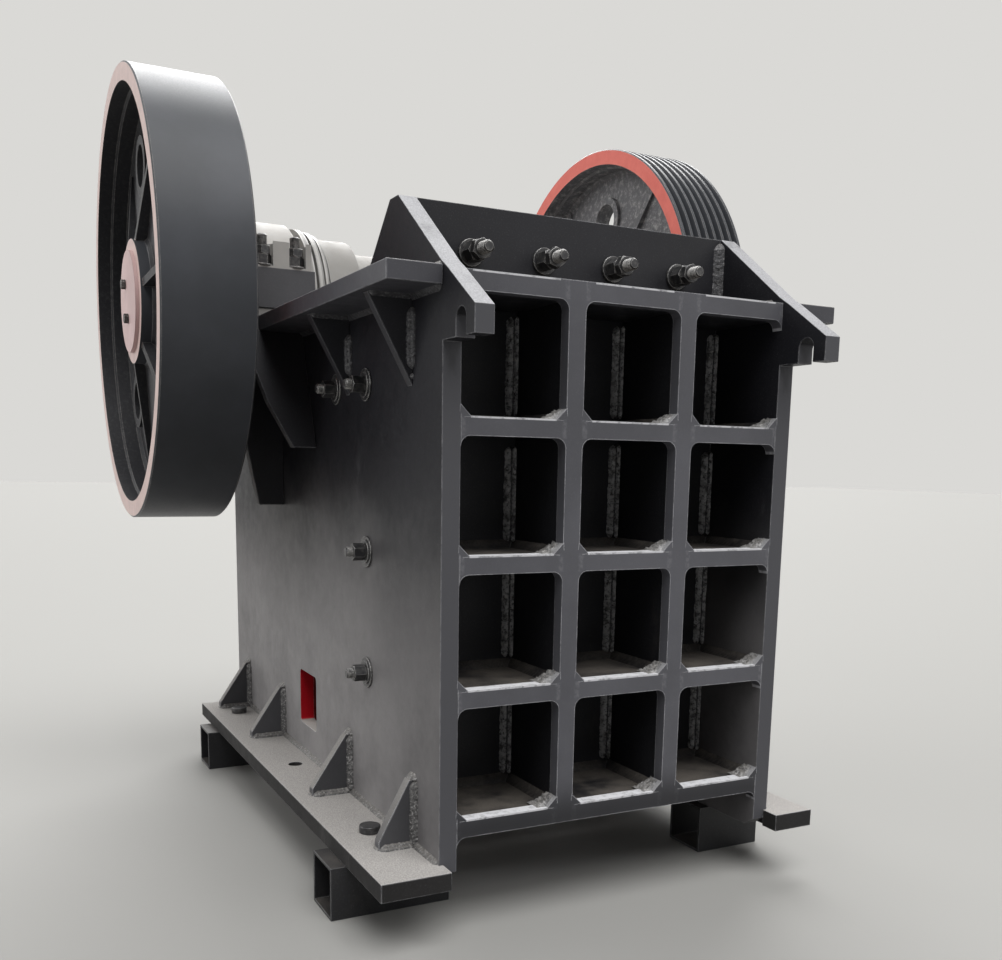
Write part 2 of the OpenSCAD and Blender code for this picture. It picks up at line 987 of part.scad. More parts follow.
// swing jaw: barrel on the eccentric, front plate, back ribs and toggle seat
module swing_jaw() {
    rib_pitch = 0.472 * jaw_half;
    color("#b4b1a9") placed()
        on_jaw()
            difference() {
                union() {
                    bar_x(barrel_r, -jaw_half, -jaw_half + 135);
                    bar_x(barrel_r, jaw_half - 135, jaw_half);
                    bar_x(barrel_r - 45, -jaw_half, jaw_half);
                    block([-jaw_half, -seat_off, plate_lo], [jaw_half, -seat_off + 90, 0]);
                    block([-jaw_half, -seat_off - 80, plate_lo - 50], [jaw_half, -seat_off + 90, plate_lo]);
                    for (i = [-2 : 2])
                        along_x(i * rib_pitch - 25, i * rib_pitch + 25)
                            jaw_rib();
                    block([-jaw_half, -seat_off + 80, toggle_l - 120], [jaw_half, -10, toggle_l + 120]);
                    both()
                        along_x(lug_in, lug_in + lug_t)
                            jaw_lug();
                    bar_x(pin_r, -lug_in - lug_t, lug_in + lug_t, rod_pin()[0], rod_pin()[1]);
                }
                bar_x(er + run_fit, -jaw_half - 1, jaw_half + 1);
                bar_x(toggle_r + toggle_free, -jaw_half - 1, jaw_half + 1, 10, toggle_l);
            }
}

// outline of a rib on the back of the swing jaw, clear of the toggle plate
module jaw_rib() {
    polygon([
        [-seat_off + 80, plate_lo],
        [-seat_off + 160, plate_lo],
        [-10, toggle_l - 120],
        [-10, toggle_l + 120],
        [90, toggle_l + 300],
        [250, -200],
        [0, 0],
        [-seat_off + 80, -100]
    ]);
}

// place of the rod pin in the frame of the swing jaw: it rests one throw below the rod's eye
function rod_pin() = let (dy = rod_y - shaft_y, dz = rod_z - shaft_z)
    [dy * cos(nip) - dz * sin(nip), dy * sin(nip) + dz * cos(nip)];

// outline of a lug that holds the rod pin
module jaw_lug() {
    pin = rod_pin();
    translate(pin)
        circle(r = pin_r + 20);
    polygon([
        [-seat_off + 100, toggle_l - 119],
        [-20, toggle_l - 119],
        [pin[0] + 14, pin[1] + 40],
        [pin[0] - 14, pin[1] - 40],
        [-seat_off + 100, plate_lo - 20]
    ]);
}

front_lattice();
front_uprights();
front_levels();
front_wall();
clamp_bolts();
jaw_clamp();
side_plate_left();
side_plate_right();
side_flange_left();
side_flange_right();
flange_gussets_left();
flange_gussets_right();
foot_left();
foot_right();
foot_gussets_left();
foot_gussets_right();
foot_plugs();
support_tubes_left();
support_tubes_right();
rear_wall();
rear_ribs();
toggle_block();
toggle_plate();
tension_beam();
tension_rod();
tension_spring();
fixed_jaw_plate();
swing_jaw_plate();
cheek_plate_left();
cheek_plate_right();
cheek_bolts_left();
cheek_bolts_right();
bearing_base_left();
bearing_base_right();
bearing_cap_left();
bearing_cap_right();
bearing_studs_left();
bearing_studs_right();
seal_rings();
eccentric_shaft();
flywheel();
grooved_pulley();
hub_discs();
swing_jaw();
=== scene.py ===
# Looks of a single-toggle jaw crusher: satin graphite paint, rough castings, weld beads and bolts.
# Metres, +Z up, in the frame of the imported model. X runs along the shaft, -Y is the ribbed front.
import math
import random

import bpy
from mathutils import Matrix, Vector, noise


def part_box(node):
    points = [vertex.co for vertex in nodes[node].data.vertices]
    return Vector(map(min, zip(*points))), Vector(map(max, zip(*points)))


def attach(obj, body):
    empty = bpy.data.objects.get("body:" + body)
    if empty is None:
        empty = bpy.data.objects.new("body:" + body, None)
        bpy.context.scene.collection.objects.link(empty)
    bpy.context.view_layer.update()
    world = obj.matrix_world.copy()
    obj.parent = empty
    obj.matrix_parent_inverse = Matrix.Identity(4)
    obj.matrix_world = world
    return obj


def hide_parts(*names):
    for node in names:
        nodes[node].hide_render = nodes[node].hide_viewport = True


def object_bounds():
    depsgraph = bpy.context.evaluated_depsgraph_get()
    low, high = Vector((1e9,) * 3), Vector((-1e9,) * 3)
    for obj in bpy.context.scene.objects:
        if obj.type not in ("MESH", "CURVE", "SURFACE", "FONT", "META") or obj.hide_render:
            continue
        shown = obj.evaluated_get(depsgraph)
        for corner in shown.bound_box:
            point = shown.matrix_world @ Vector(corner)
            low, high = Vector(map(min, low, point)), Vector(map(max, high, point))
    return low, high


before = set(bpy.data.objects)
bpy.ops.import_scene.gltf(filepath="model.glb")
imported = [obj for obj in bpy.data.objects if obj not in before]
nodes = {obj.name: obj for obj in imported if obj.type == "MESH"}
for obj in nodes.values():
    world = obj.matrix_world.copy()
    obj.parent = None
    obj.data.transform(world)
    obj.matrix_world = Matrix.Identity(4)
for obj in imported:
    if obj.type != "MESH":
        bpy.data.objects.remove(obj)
cad_low, cad_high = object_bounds()

X = Vector((1, 0, 0))
Y = Vector((0, 1, 0))
Z = Vector((0, 0, 1))

# Places taken from the frame
lattice_low, lattice_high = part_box("front_lattice")
wall_low, wall_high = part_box("front_wall")
side_low, side_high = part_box("side_plate_right")
deck_low, deck_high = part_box("side_flange_right")
flywheel_low, flywheel_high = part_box("flywheel")
FRONT = lattice_low.y
LATTICE_BACK = lattice_high.y
LATTICE_TOP = lattice_high.z
WALL_FACE = wall_low.y
WALL_BACK = wall_high.y
WALL_TOP = wall_high.z
PLATE_IN = side_low.x
PLATE_OUT = side_high.x
DECK_FRONT = deck_low.y
DECK_UNDER = deck_low.z
DECK_TOP = deck_high.z
DECK_OUT = deck_high.x
FOOT_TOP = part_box("foot_left")[1].z
FLOOR = cad_low.z
SHAFT = (flywheel_low + flywheel_high) / 2

# Low window of each side plate: its rear side, and heights just over its top and its sill
WINDOW_BACK = FRONT + 1.477
WINDOW_TOP = 0.43
WINDOW_SILL = 0.20
# Machined pad under each bearing block
PAD = 0.034
# Inner edge of the wheel rims and outer edge of the hubs
RIM_R = 0.794
HUB_R = 0.240

# Front lattice: bars, ribs behind them, and the windows between
COLUMNS = 3
ROWS = 4
BAR_W = 0.060
BAR_H = 0.057
RIB = 0.045
POCKET_H = 0.3525
LATTICE_LOW = 0.136
POCKET_W = (2 * PLATE_IN - (COLUMNS - 1) * BAR_W) / COLUMNS
BAY = POCKET_W + BAR_W
LEVEL = BAR_H + POCKET_H
# Straight cut at the lower corners of the windows
WINDOW_CUT = 0.032


def linear(red, green, blue):
    """A colour written in the usual 0 to 255 values, as the shader wants it."""
    def channel(value):
        share = value / 255
        return share / 12.92 if share <= 0.04045 else ((share + 0.055) / 1.055) ** 2.4
    return (channel(red), channel(green), channel(blue), 1.0)


def tone(base, share, lift=0.0):
    """A darker or lighter tone of a colour."""
    return tuple(min(1.0, channel * share + lift) for channel in base[:3]) + (1.0,)


class Shader:
    """A material's node tree with short calls for the nodes that the finishes use."""

    def __init__(self, name):
        self.material = bpy.data.materials.new(name)
        self.material.use_nodes = True
        self.tree = self.material.node_tree
        coordinates = self.node("TexCoord", {})
        self.object = coordinates.outputs["Object"]
        self.normal = coordinates.outputs["Normal"]

    def set(self, socket, value):
        """Gives an input a constant or a link."""
        if isinstance(value, bpy.types.NodeSocket):
            self.tree.links.new(value, socket)
        else:
            socket.default_value = value

    def node(self, kind, inputs, **settings):
        """New node with its settings, and its inputs given by name or number."""
        node = self.tree.nodes.new("ShaderNode" + kind)
        for name, value in settings.items():
            setattr(node, name, value)
        for key, value in inputs.items():
            self.set(node.inputs[key], value)
        return node

    def finish(self, inputs):
        """Sets the inputs of the surface and gives the finished material."""
        surface = self.tree.nodes["Principled BSDF"]
        for name, value in inputs.items():
            self.set(surface.inputs[name], value)
        return self.material

    def noise(self, scale, detail, rough, stretch=(1, 1, 1)):
        """Fractal noise around 0.5."""
        mapping = self.node("Mapping", {"Vector": self.object, "Scale": stretch})
        node = self.node("TexNoise", {"Vector": mapping.outputs["Vector"], "Scale": scale,
                                      "Detail": detail, "Roughness": rough})
        return node.outputs["Fac"]

    def ramp(self, value, low, high, at_low=0.0, at_high=1.0):
        """Value between low and high, taken smoothly to the range from at_low to at_high."""
        node = self.node("MapRange", {"Value": value, "From Min": low, "From Max": high,
                                      "To Min": at_low, "To Max": at_high},
                         interpolation_type="SMOOTHSTEP")
        return node.outputs["Result"]

    def math(self, operation, first, second=0.0):
        node = self.node("Math", {0: first, 1: second}, operation=operation)
        return node.outputs["Value"]

    def times(self, *values):
        product = values[0]
        for value in values[1:]:
            product = self.math("MULTIPLY", product, value)
        return product

    def plus(self, first, second):
        return self.math("ADD", first, second)

    def minus(self, first, second):
        return self.math("SUBTRACT", first, second)

    def below(self, value, limit):
        return self.math("LESS_THAN", value, limit)

    def above(self, value, limit):
        return self.math("GREATER_THAN", value, limit)

    def mix(self, share, first, second):
        """The first colour where share is 0 and the second where it is 1."""
        return self.node("Mix", {0: share, 6: first, 7: second}, data_type="RGBA").outputs[2]

    def split(self, vector):
        node = self.node("SeparateXYZ", {0: vector})
        return node.outputs["X"], node.outputs["Y"], node.outputs["Z"]

    def edges(self, radius):
        """1 on edges within that radius and 0 on flat surfaces."""
        bevel = self.node("Bevel", {"Radius": radius}, samples=4)
        geometry = self.node("NewGeometry", {})
        dot = self.node("VectorMath", {0: bevel.outputs["Normal"], 1: geometry.outputs["Normal"]},
                        operation="DOT_PRODUCT")
        return self.ramp(dot.outputs["Value"], 0.990, 0.92)

    def bump(self, height, strength, distance, under=None):
        """Normal of a relief, on top of the relief under it if there is one."""
        inputs = {"Height": height, "Strength": strength, "Distance": distance}
        if under is not None:
            inputs["Normal"] = under
        return self.node("Bump", inputs).outputs["Normal"]


DUST = linear(150, 142, 132)
BARE_EDGE = linear(150, 150, 152)
# Pale edge colour: edge wear, made pale enough to be also a painted highlight along the edges
EDGE_WEAR_AND_HIGHLIGHT = linear(204, 204, 208)


def painted(name, base, dusty=0.35, gloss=0.46, worn=0.5, dust=DUST, shine=0.35,
            cover=(0.30, 0.62), facing=(0.35, 0.95), edge=BARE_EDGE, extra=None):
    """Sprayed satin paint: fine orange peel, dusty where it faces up, thin and bright along edges,
    where a pale edge colour is also a painted highlight.

    cover and facing say how patchy the dust lies and from which slope on; extra adds marks to the
    colour before the edges wear through it.
    """
    shader = Shader(name)
    clouds = shader.noise(1.7, 5.0, 0.6)
    mottle = shader.noise(14.0, 6.0, 0.65)
    speck = shader.noise(230.0, 3.0, 0.7)
    colour = shader.mix(shader.ramp(clouds, 0.34, 0.66), tone(base, 0.86), tone(base, 1.16))
    colour = shader.mix(shader.ramp(mottle, 0.40, 0.72, 0.0, 0.35), colour, base)
    colour = shader.mix(shader.ramp(speck, 0.54, 0.74, 0.0, 0.10), colour, BARE_EDGE)
    facing_up = shader.ramp(shader.split(shader.normal)[2], *facing)
    settled = shader.ramp(shader.noise(5.0, 8.0, 0.7), *cover)
    fine = shader.ramp(speck, 0.35, 0.75, 0.55, 1.0)
    film = shader.times(facing_up, settled, fine, dusty)
    colour = shader.mix(film, colour, dust)
    smudge = shader.ramp(shader.noise(3.1, 9.0, 0.75, (1.0, 1.0, 0.45)), 0.58, 0.80, 0.0, 0.10)
    colour = shader.mix(smudge, colour, dust)
    if extra is not None:
        colour = extra(shader, colour)
    rubbed = shader.ramp(shader.noise(26.0, 5.0, 0.7), 0.34, 0.58, 0.30, 1.0)
    # Edge wear, which with a pale edge colour is also a painted highlight
    wear = shader.times(shader.edges(0.0045), rubbed, worn)
    sheen = shader.ramp(mottle, 0.3, 0.7, gloss - 0.05, gloss + 0.06)
    waves = shader.bump(shader.noise(9.0, 3.0, 0.5), 0.08, 0.004)
    return shader.finish({
        "Base Color": shader.mix(wear, colour, edge),
        "Roughness": shader.plus(sheen, shader.times(film, 0.35)),
        "Specular IOR Level": shine,
        "Normal": shader.bump(speck, 0.22, 0.0016, waves),
    })


def welded(name, base, highlight_share=0.6, grain=130.0, hollow=0.35):
    """Painted weld metal: painted highlights on the crests of its relief, painted shade in its
    hollows, and darker patches here and there.
    """
    shader = Shader(name)
    coarse = shader.noise(grain, 5.0, 0.72)
    dark = tone(base, hollow)
    # Painted shade: hollows of the relief darker
    colour = shader.mix(shader.ramp(coarse, 0.36, 0.54), dark, base)
    patchy = shader.ramp(shader.noise(24.0, 3.0, 0.6), 0.32, 0.54, hollow, 1.0)
    colour = shader.mix(patchy, dark, colour)
    # Painted highlight on the crests of the relief
    crests = shader.ramp(coarse, 0.55, 0.64, 0.0, highlight_share)
    colour = shader.mix(crests, colour, linear(196, 194, 192))
    dusty = shader.ramp(shader.split(shader.normal)[2], 0.30, 0.95, 0.0, 0.35)
    return shader.finish({
        "Base Color": shader.mix(dusty, colour, linear(150, 145, 138)),
        "Roughness": shader.ramp(coarse, 0.3, 0.8, 0.46, 0.30),
        "Specular IOR Level": 0.5,
        "Normal": shader.bump(coarse, 0.85, 0.0035),
    })


def machined(name, base):
    """Bare machined steel with fine tool marks and a few stains."""
    shader = Shader(name)
    stain = shader.ramp(shader.noise(7.0, 6.0, 0.65), 0.45, 0.75, 0.0, 0.8)
    marks = shader.noise(900.0, 2.0, 0.5, (1.0, 0.02, 0.02))
    return shader.finish({
        "Base Color": shader.mix(stain, base, tone(base, 0.55)),
        "Metallic": 0.85,
        "Roughness": shader.ramp(marks, 0.3, 0.7, 0.34, 0.52),
        "Normal": shader.bump(marks, 0.12, 0.0008),
    })


def blackened(name, base, metal=0.45, gloss=0.30):
    """Dark bolts and nuts, rubbed bright along their edges and thread crests."""
    shader = Shader(name)
    grime = shader.noise(60.0, 5.0, 0.7)
    wear = shader.times(shader.edges(0.0022), shader.ramp(grime, 0.30, 0.56), 0.9)
    stained = shader.mix(shader.ramp(grime, 0.40, 0.70), base, linear(92, 91, 90))
    return shader.finish({
        "Base Color": shader.mix(wear, stained, linear(205, 203, 200)),
        "Metallic": metal,
        "Roughness": shader.ramp(grime, 0.3, 0.7, gloss, gloss + 0.16),
        "Normal": shader.bump(shader.noise(400.0, 3.0, 0.6), 0.15, 0.0006),
    })


def wheel_finish(name, node_name, face_out, face_in, rough_web):
    """Wheel: painted rim, coloured flat faces of rim and hub, and casting between them."""
    low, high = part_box(node_name)
    if rough_web:
        grain_scale, crest_highlight_share, iron, relief = 36.0, 0.75, linear(116, 116, 119), 1.0
    else:
        grain_scale, crest_highlight_share, iron, relief = 60.0, 0.04, linear(46, 46, 49), 0.18
    shader = Shader(name)
    x, y, z = shader.split(shader.object)
    across = shader.minus(y, SHAFT.y)
    up = shader.minus(z, SHAFT.z)
    radius = shader.math("SQRT", shader.plus(shader.times(across, across), shader.times(up, up)))
    wobble = shader.times(shader.minus(shader.noise(22.0, 4.0, 0.6), 0.5), 0.006)
    ragged = shader.plus(radius, wobble)
    nx = shader.split(shader.normal)[0]
    away = shader.ramp(nx, -0.75, -0.92)
    outer_face = shader.times(away, shader.below(x, low.x + 0.004))
    outer_hub = shader.times(away, shader.below(x, low.x + 0.046))
    inner_face = shader.times(shader.ramp(nx, 0.75, 0.92), shader.above(x, high.x - 0.004))
    on_rim = shader.above(ragged, RIM_R - 0.002)
    on_hub = shader.below(ragged, HUB_R + 0.002)
    inside = shader.times(shader.below(radius, RIM_R + 0.001), shader.minus(1.0, on_hub))
    clouds = shader.ramp(shader.noise(2.3, 6.0, 0.6), 0.32, 0.68)
    colour = shader.mix(clouds, linear(68, 70, 74), linear(78, 80, 85))
    grain = shader.noise(grain_scale, 8.0, 0.72)
    # Painted highlight on the crests of the casting relief
    crest = shader.ramp(grain, 0.46, 0.72, 0.0, crest_highlight_share)
    colour = shader.mix(inside, colour, shader.mix(crest, iron, linear(206, 204, 202)))
    face_noise = shader.ramp(shader.noise(16.0, 6.0, 0.65), 0.30, 0.72, 0.0, 0.5)
    for rim_flat, hub_flat, tint in ((outer_face, outer_hub, face_out),
                                     (inner_face, inner_face, face_in)):
        face_colour = shader.mix(face_noise, tint, tone(tint, 1.35, 0.02))
        zone = shader.math("MAXIMUM", shader.times(rim_flat, on_rim),
                           shader.times(hub_flat, on_hub))
        colour = shader.mix(zone, colour, face_colour)
    rubbed = shader.ramp(shader.noise(30.0, 5.0, 0.7), 0.34, 0.58, 0.3, 1.0)
    wear = shader.times(shader.edges(0.004), rubbed, 0.6)
    fine = shader.noise(190.0, 3.0, 0.6)
    satin = shader.ramp(fine, 0.3, 0.7, 0.33, 0.43)
    peel = shader.bump(fine, 0.10, 0.0014)
    return shader.finish({
        "Base Color": shader.mix(wear, colour, linear(176, 172, 168)),
        "Roughness": shader.plus(satin, shader.times(inside, 0.12)),
        "Specular IOR Level": 0.20,
        "Normal": shader.bump(shader.times(grain, inside), relief, 0.009, peel),
    })


def jaw_metal(name):
    """Cast manganese steel: brown-grey scale, pits and rubbed crests."""
    shader = Shader(name)
    scale = shader.noise(11.0, 7.0, 0.7)
    colour = shader.mix(shader.ramp(scale, 0.36, 0.66), linear(78, 72, 66), linear(122, 117, 110))
    wear = shader.times(shader.edges(0.006), 0.6)
    return shader.finish({
        "Base Color": shader.mix(wear, colour, linear(160, 158, 154)),
        "Metallic": 0.35,
        "Roughness": shader.ramp(scale, 0.3, 0.7, 0.62, 0.45),
        "Normal": shader.bump(shader.noise(75.0, 6.0, 0.7), 0.5, 0.003),
    })


def window_marks(shader, colour):
    """Red primer on the rear side of the low window, and pale dust on its sill."""
    y, z = shader.split(shader.object)[1:]
    ny, nz = shader.split(shader.normal)[1:]
    jamb = shader.times(shader.ramp(ny, -0.5, -0.8), shader.below(z, WINDOW_TOP),
                        shader.above(y, WINDOW_BACK - 0.02), shader.below(y, WINDOW_BACK + 0.02))
    colour = shader.mix(jamb, colour, linear(186, 22, 34))
    sill = shader.times(shader.ramp(nz, 0.5, 0.9), shader.below(z, WINDOW_SILL),
                        shader.below(y, WINDOW_BACK + 0.01), 0.85)
    return shader.mix(sill, colour, linear(196, 192, 186))


def side_marks(shader, colour):
    """Side plate: pale low down and towards the rear, partly dust and partly painted light, front
    faces lightened as painted light, and the marks of its window.
    """
    y, z = shader.split(shader.object)[1:]
    nx, ny = shader.split(shader.normal)[:2]
    upright = shader.ramp(shader.math("ABSOLUTE", nx), 0.5, 0.9)
    height = shader.plus(z, shader.times(shader.noise(2.0, 4.0, 0.6), 0.7))
    # Paler towards the bottom and the rear, darker towards the top: partly dust, partly painted
    # light and painted shade
    low_dust_and_light = shader.times(upright, shader.ramp(height, 1.62, 0.85),
                        shader.ramp(y, FRONT, FRONT + 0.9, 0.62, 1.0))
    cloud = shader.ramp(shader.noise(4.0, 8.0, 0.7), 0.2, 0.7, 0.62, 1.0)
    colour = shader.mix(shader.times(low_dust_and_light, cloud, 0.70), colour, linear(170, 167, 167))
    # Painted light: faces towards the front made lighter
    front_painted_light = shader.times(shader.ramp(ny, -0.85, -0.98), 0.8)
    colour = shader.mix(front_painted_light, colour, linear(96, 96, 100))
    return window_marks(shader, colour)


def lattice_marks(shader, colour):
    """Lattice: weld scars beside the uprights, painted shade on the lowest bar, a painted highlight
    on bevels facing up and forward, pale sill lines that are partly wear and partly painted
    highlight, dull top.
    """
    x, _, z = shader.split(shader.object)
    ny, nz = shader.split(shader.normal)[1:]
    row = shader.math("PINGPONG", shader.minus(z, LATTICE_LOW + BAR_H / 2), LEVEL / 2)
    column = shader.math("PINGPONG", shader.plus(x, BAY / 2), BAY / 2)
    wander = shader.times(shader.noise(38.0, 4.0, 0.6), 0.016)
    off_seam = shader.math("ABSOLUTE",
                           shader.minus(shader.plus(column, wander), BAR_W / 2 + 0.014))
    scar = shader.times(shader.ramp(off_seam, 0.012, 0.004), shader.below(row, BAR_H / 2),
                        shader.ramp(shader.noise(70.0, 5.0, 0.7), 0.35, 0.7, 0.0, 0.40))
    colour = shader.mix(scar, colour, linear(140, 140, 144))
    # Painted shade: the lowest bar darker towards the floor
    low = shader.times(shader.ramp(z, 0.30, 0.15), shader.ramp(nz, 0.5, 0.2), 0.8)
    colour = shader.mix(low, colour, linear(34, 34, 36))
    # Painted highlight on bevels that face up and to the front
    lip = shader.times(shader.ramp(nz, 0.12, 0.30), shader.ramp(ny, -0.10, -0.30),
                       shader.ramp(shader.noise(40.0, 4.0, 0.7), 0.30, 0.50, 0.4, 1.0))
    colour = shader.mix(lip, colour, linear(236, 236, 238))
    # Pale line at each sill: partly edge wear, partly a painted highlight
    level = shader.math("MODULO", shader.minus(z, LATTICE_LOW), LEVEL)
    off_sill = shader.math("ABSOLUTE", shader.minus(level, BAR_H - 0.002))
    sill_wear_and_highlight = shader.times(shader.ramp(off_sill, 0.0045, 0.0025),
                             shader.above(column, BAR_W / 2 + WINDOW_CUT),
                             shader.ramp(shader.noise(30.0, 5.0, 0.7), 0.34, 0.52, 0.25, 0.9))
    colour = shader.mix(sill_wear_and_highlight, colour, linear(226, 226, 229))
    top = shader.times(shader.ramp(nz, 0.5, 0.9), shader.above(z, LATTICE_TOP - 0.008), 0.7)
    return shader.mix(top, colour, linear(112, 109, 106))


def seam(shader, colour):
    """Machined pad under the bearing block, with a dark joint line."""
    z = shader.split(shader.object)[2]
    pad = shader.times(shader.below(z, DECK_TOP + PAD), 0.75)
    colour = shader.mix(pad, colour, linear(150, 148, 144))
    line = shader.times(shader.above(z, DECK_TOP + PAD - 0.004),
                        shader.below(z, DECK_TOP + PAD + 0.002))
    return shader.mix(line, colour, linear(18, 18, 19))


def ring_bands(shader, colour):
    """Seal rings: dark grease in every second groove."""
    x = shader.split(shader.object)[0]
    reach = shader.minus(PLATE_IN, shader.math("ABSOLUTE", x))
    band = shader.ramp(shader.math("PINGPONG", reach, 0.012), 0.004, 0.008)
    return shader.mix(shader.times(band, 0.55), colour, linear(58, 57, 56))


# One graphite paint: the lighter and darker base tones below are painted light and painted shade on
# the parts they cover
FRAME_DARK = painted("graphite_plate", linear(46, 46, 50), shine=0.25, edge=EDGE_WEAR_AND_HIGHLIGHT)
# Side plates: darker tone as painted shade
FRAME_SIDE_SHADED = painted("graphite_side_plate_painted_shade", linear(33, 33, 37), dusty=0.8,
                     dust=linear(206, 206, 209), cover=(0.10, 0.50), facing=(0.25, 0.75),
                     shine=0.14, edge=EDGE_WEAR_AND_HIGHLIGHT, extra=side_marks)
# Lattice: lighter tone as painted light
FRAME_LATTICE_LIT = painted("graphite_lattice_painted_light", linear(92, 92, 97), dusty=0.95, dust=linear(198, 197, 197),
                    cover=(0.00, 0.32), worn=0.9, shine=0.25, edge=EDGE_WEAR_AND_HIGHLIGHT,
                    extra=lattice_marks)
# Side flanges: lighter tone as painted light
FRAME_FLANGE_LIT = painted("graphite_flange_painted_light", linear(70, 70, 75), dusty=0.6, worn=0.8, shine=0.3,
                       edge=EDGE_WEAR_AND_HIGHLIGHT)
# Front wall: darker tone as painted shade
FRAME_WALL_SHADED = painted("graphite_wall_painted_shade", linear(38, 38, 42), dusty=0.30, worn=0.8, shine=0.25,
                     edge=EDGE_WEAR_AND_HIGHLIGHT)
# Pocket ribs and floor beads: darker tone as painted shade
FRAME_SHADE = painted("graphite_pockets_painted_shade", linear(34, 34, 37), dusty=0.50, worn=0.3, shine=0.15)
WELD = welded("painted_weld", linear(78, 78, 82), highlight_share=0.35)
# Pocket beads: a darker weld tone as painted shade
WELD_POCKET_SHADED = welded("pocket_weld", linear(56, 56, 60), highlight_share=0.4)
# Ridges on the pocket beads: a pale weld tone as a painted highlight
WELD_RIDGE_HIGHLIGHT = welded("pocket_ridge_painted_highlight", linear(188, 188, 190), highlight_share=0.9, grain=75.0, hollow=0.10)
WELD_PALE = welded("rubbed_weld", linear(132, 132, 133), highlight_share=0.6, grain=60.0)
WELD_FOOT = welded("foot_weld", linear(104, 103, 103), highlight_share=0.7)
# Foot plates: sides darker than the gussets' tone as painted shade, tops pale partly from dust and
# partly as painted light
FOOT_DUST_AND_LIGHT = painted("foot_plate_dust_and_painted_light", linear(50, 49, 49), dusty=0.97, dust=linear(196, 192, 188),
               cover=(0.0, 0.38), gloss=0.6, worn=0.8, shine=0.08, edge=EDGE_WEAR_AND_HIGHLIGHT)
GUSSET = painted("dusty_gussets", linear(74, 74, 77), dusty=0.75, dust=linear(166, 162, 157),
                 cover=(0.10, 0.45), facing=(0.10, 0.55), worn=0.8, edge=EDGE_WEAR_AND_HIGHLIGHT)
TUBE = painted("black_tube", linear(40, 40, 42), dusty=0.25, gloss=0.42)
LIGHT_GREY = painted("light_grey_undercoat", linear(166, 164, 160), dusty=0.25, gloss=0.5,
                     dust=linear(150, 141, 130))
# The light-grey undercoat in a darker tone: painted shade on the swing jaw
JAW_GREY_SHADED = painted("jaw_undercoat_painted_shade", linear(136, 134, 130), dusty=0.25, gloss=0.5,
                   dust=linear(150, 141, 130))
RINGS = painted("machined_seal_rings", linear(168, 166, 162), dusty=0.1, gloss=0.4,
                extra=ring_bands)
BEARING_GREY = painted("bearing_grey", linear(78, 78, 81), dusty=0.3, extra=seam)
RED = painted("red_primer", linear(176, 38, 30), dusty=0.25, gloss=0.5, worn=0.3)
PINK = painted("pink_primer", linear(222, 192, 190), dusty=0.1, gloss=0.5, worn=0.5)
BLACK = blackened("blackened_bolts", linear(58, 58, 60))
SCREW = blackened("browned_screws", linear(34, 26, 23), metal=0.2, gloss=0.5)
STEEL = machined("machined_steel", linear(150, 149, 146))
JAW = jaw_metal("manganese_steel")
ROSE = linear(218, 192, 186)
SALMON = linear(236, 112, 98)
FLYWHEEL = wheel_finish("flywheel_paint", "flywheel", ROSE, SALMON, False)
PULLEY = wheel_finish("pulley_paint", "grooved_pulley", SALMON, ROSE, True)


def pair(name):
    """The left and the right node of that name."""
    return [name + "_left", name + "_right"]


# Finishes of the nodes made of flat plates, whose edges get a real bevel
PLATES = [
    (FRAME_LATTICE_LIT, ["front_lattice"]),
    (FRAME_SHADE, ["front_uprights", "front_levels"]),
    (FRAME_WALL_SHADED, ["front_wall"]),
    (FRAME_DARK, ["jaw_clamp", "rear_wall", "rear_ribs", "toggle_block"] + pair("flange_gussets")),
    (FRAME_SIDE_SHADED, pair("side_plate")),
    (FRAME_FLANGE_LIT, pair("side_flange")),
    (FOOT_DUST_AND_LIGHT, pair("foot")),
    (GUSSET, pair("foot_gussets")),
    (TUBE, pair("support_tubes")),
    (BEARING_GREY, pair("bearing_base")),
    (JAW, ["fixed_jaw_plate", "swing_jaw_plate"] + pair("cheek_plate")),
    (RED, ["toggle_plate", "tension_beam"]),
    (BLACK, ["foot_plugs"]),
]
# Finishes of the round and cast nodes
ROUNDS = [
    (BLACK, ["tension_rod"]),
    (LIGHT_GREY, pair("bearing_cap")),
    (RINGS, ["seal_rings"]),
    (STEEL, ["eccentric_shaft"]),
    (PINK, ["hub_discs"]),
    (JAW_GREY_SHADED, ["swing_jaw"]),
    (FLYWHEEL, ["flywheel"]),
    (PULLEY, ["grooved_pulley"]),
]
PLATE_BEVEL = 0.0035
TUBE_BEVEL = 0.0020
WELD_GAP = 0.00002


def bevel_node(node, width):
    """Rounds the sharp edges of a plate node with modifiers; its own vertices stay as they are."""
    custom = node.data.attributes.get("custom_normal")
    if custom is not None:
        node.data.attributes.remove(custom)
    node.data.polygons.foreach_set("use_smooth", [True] * len(node.data.polygons))
    weld = node.modifiers.new("weld", "WELD")
    weld.merge_threshold = WELD_GAP
    flat = node.modifiers.new("flat", "DECIMATE")
    flat.decimate_type = "DISSOLVE"
    flat.angle_limit = math.radians(0.3)
    bevel = node.modifiers.new("bevel", "BEVEL")
    bevel.width = width
    bevel.segments = 2
    bevel.limit_method = "ANGLE"
    bevel.angle_limit = math.radians(30)
    bevel.harden_normals = True
    bevel.use_clamp_overlap = True


for finish, node_names in PLATES + ROUNDS:
    for node_name in node_names:
        nodes[node_name].data.materials.clear()
        nodes[node_name].data.materials.append(finish)
for finish, node_names in PLATES:
    for node_name in node_names:
        bevel_node(nodes[node_name], TUBE_BEVEL if "tubes" in node_name else PLATE_BEVEL)


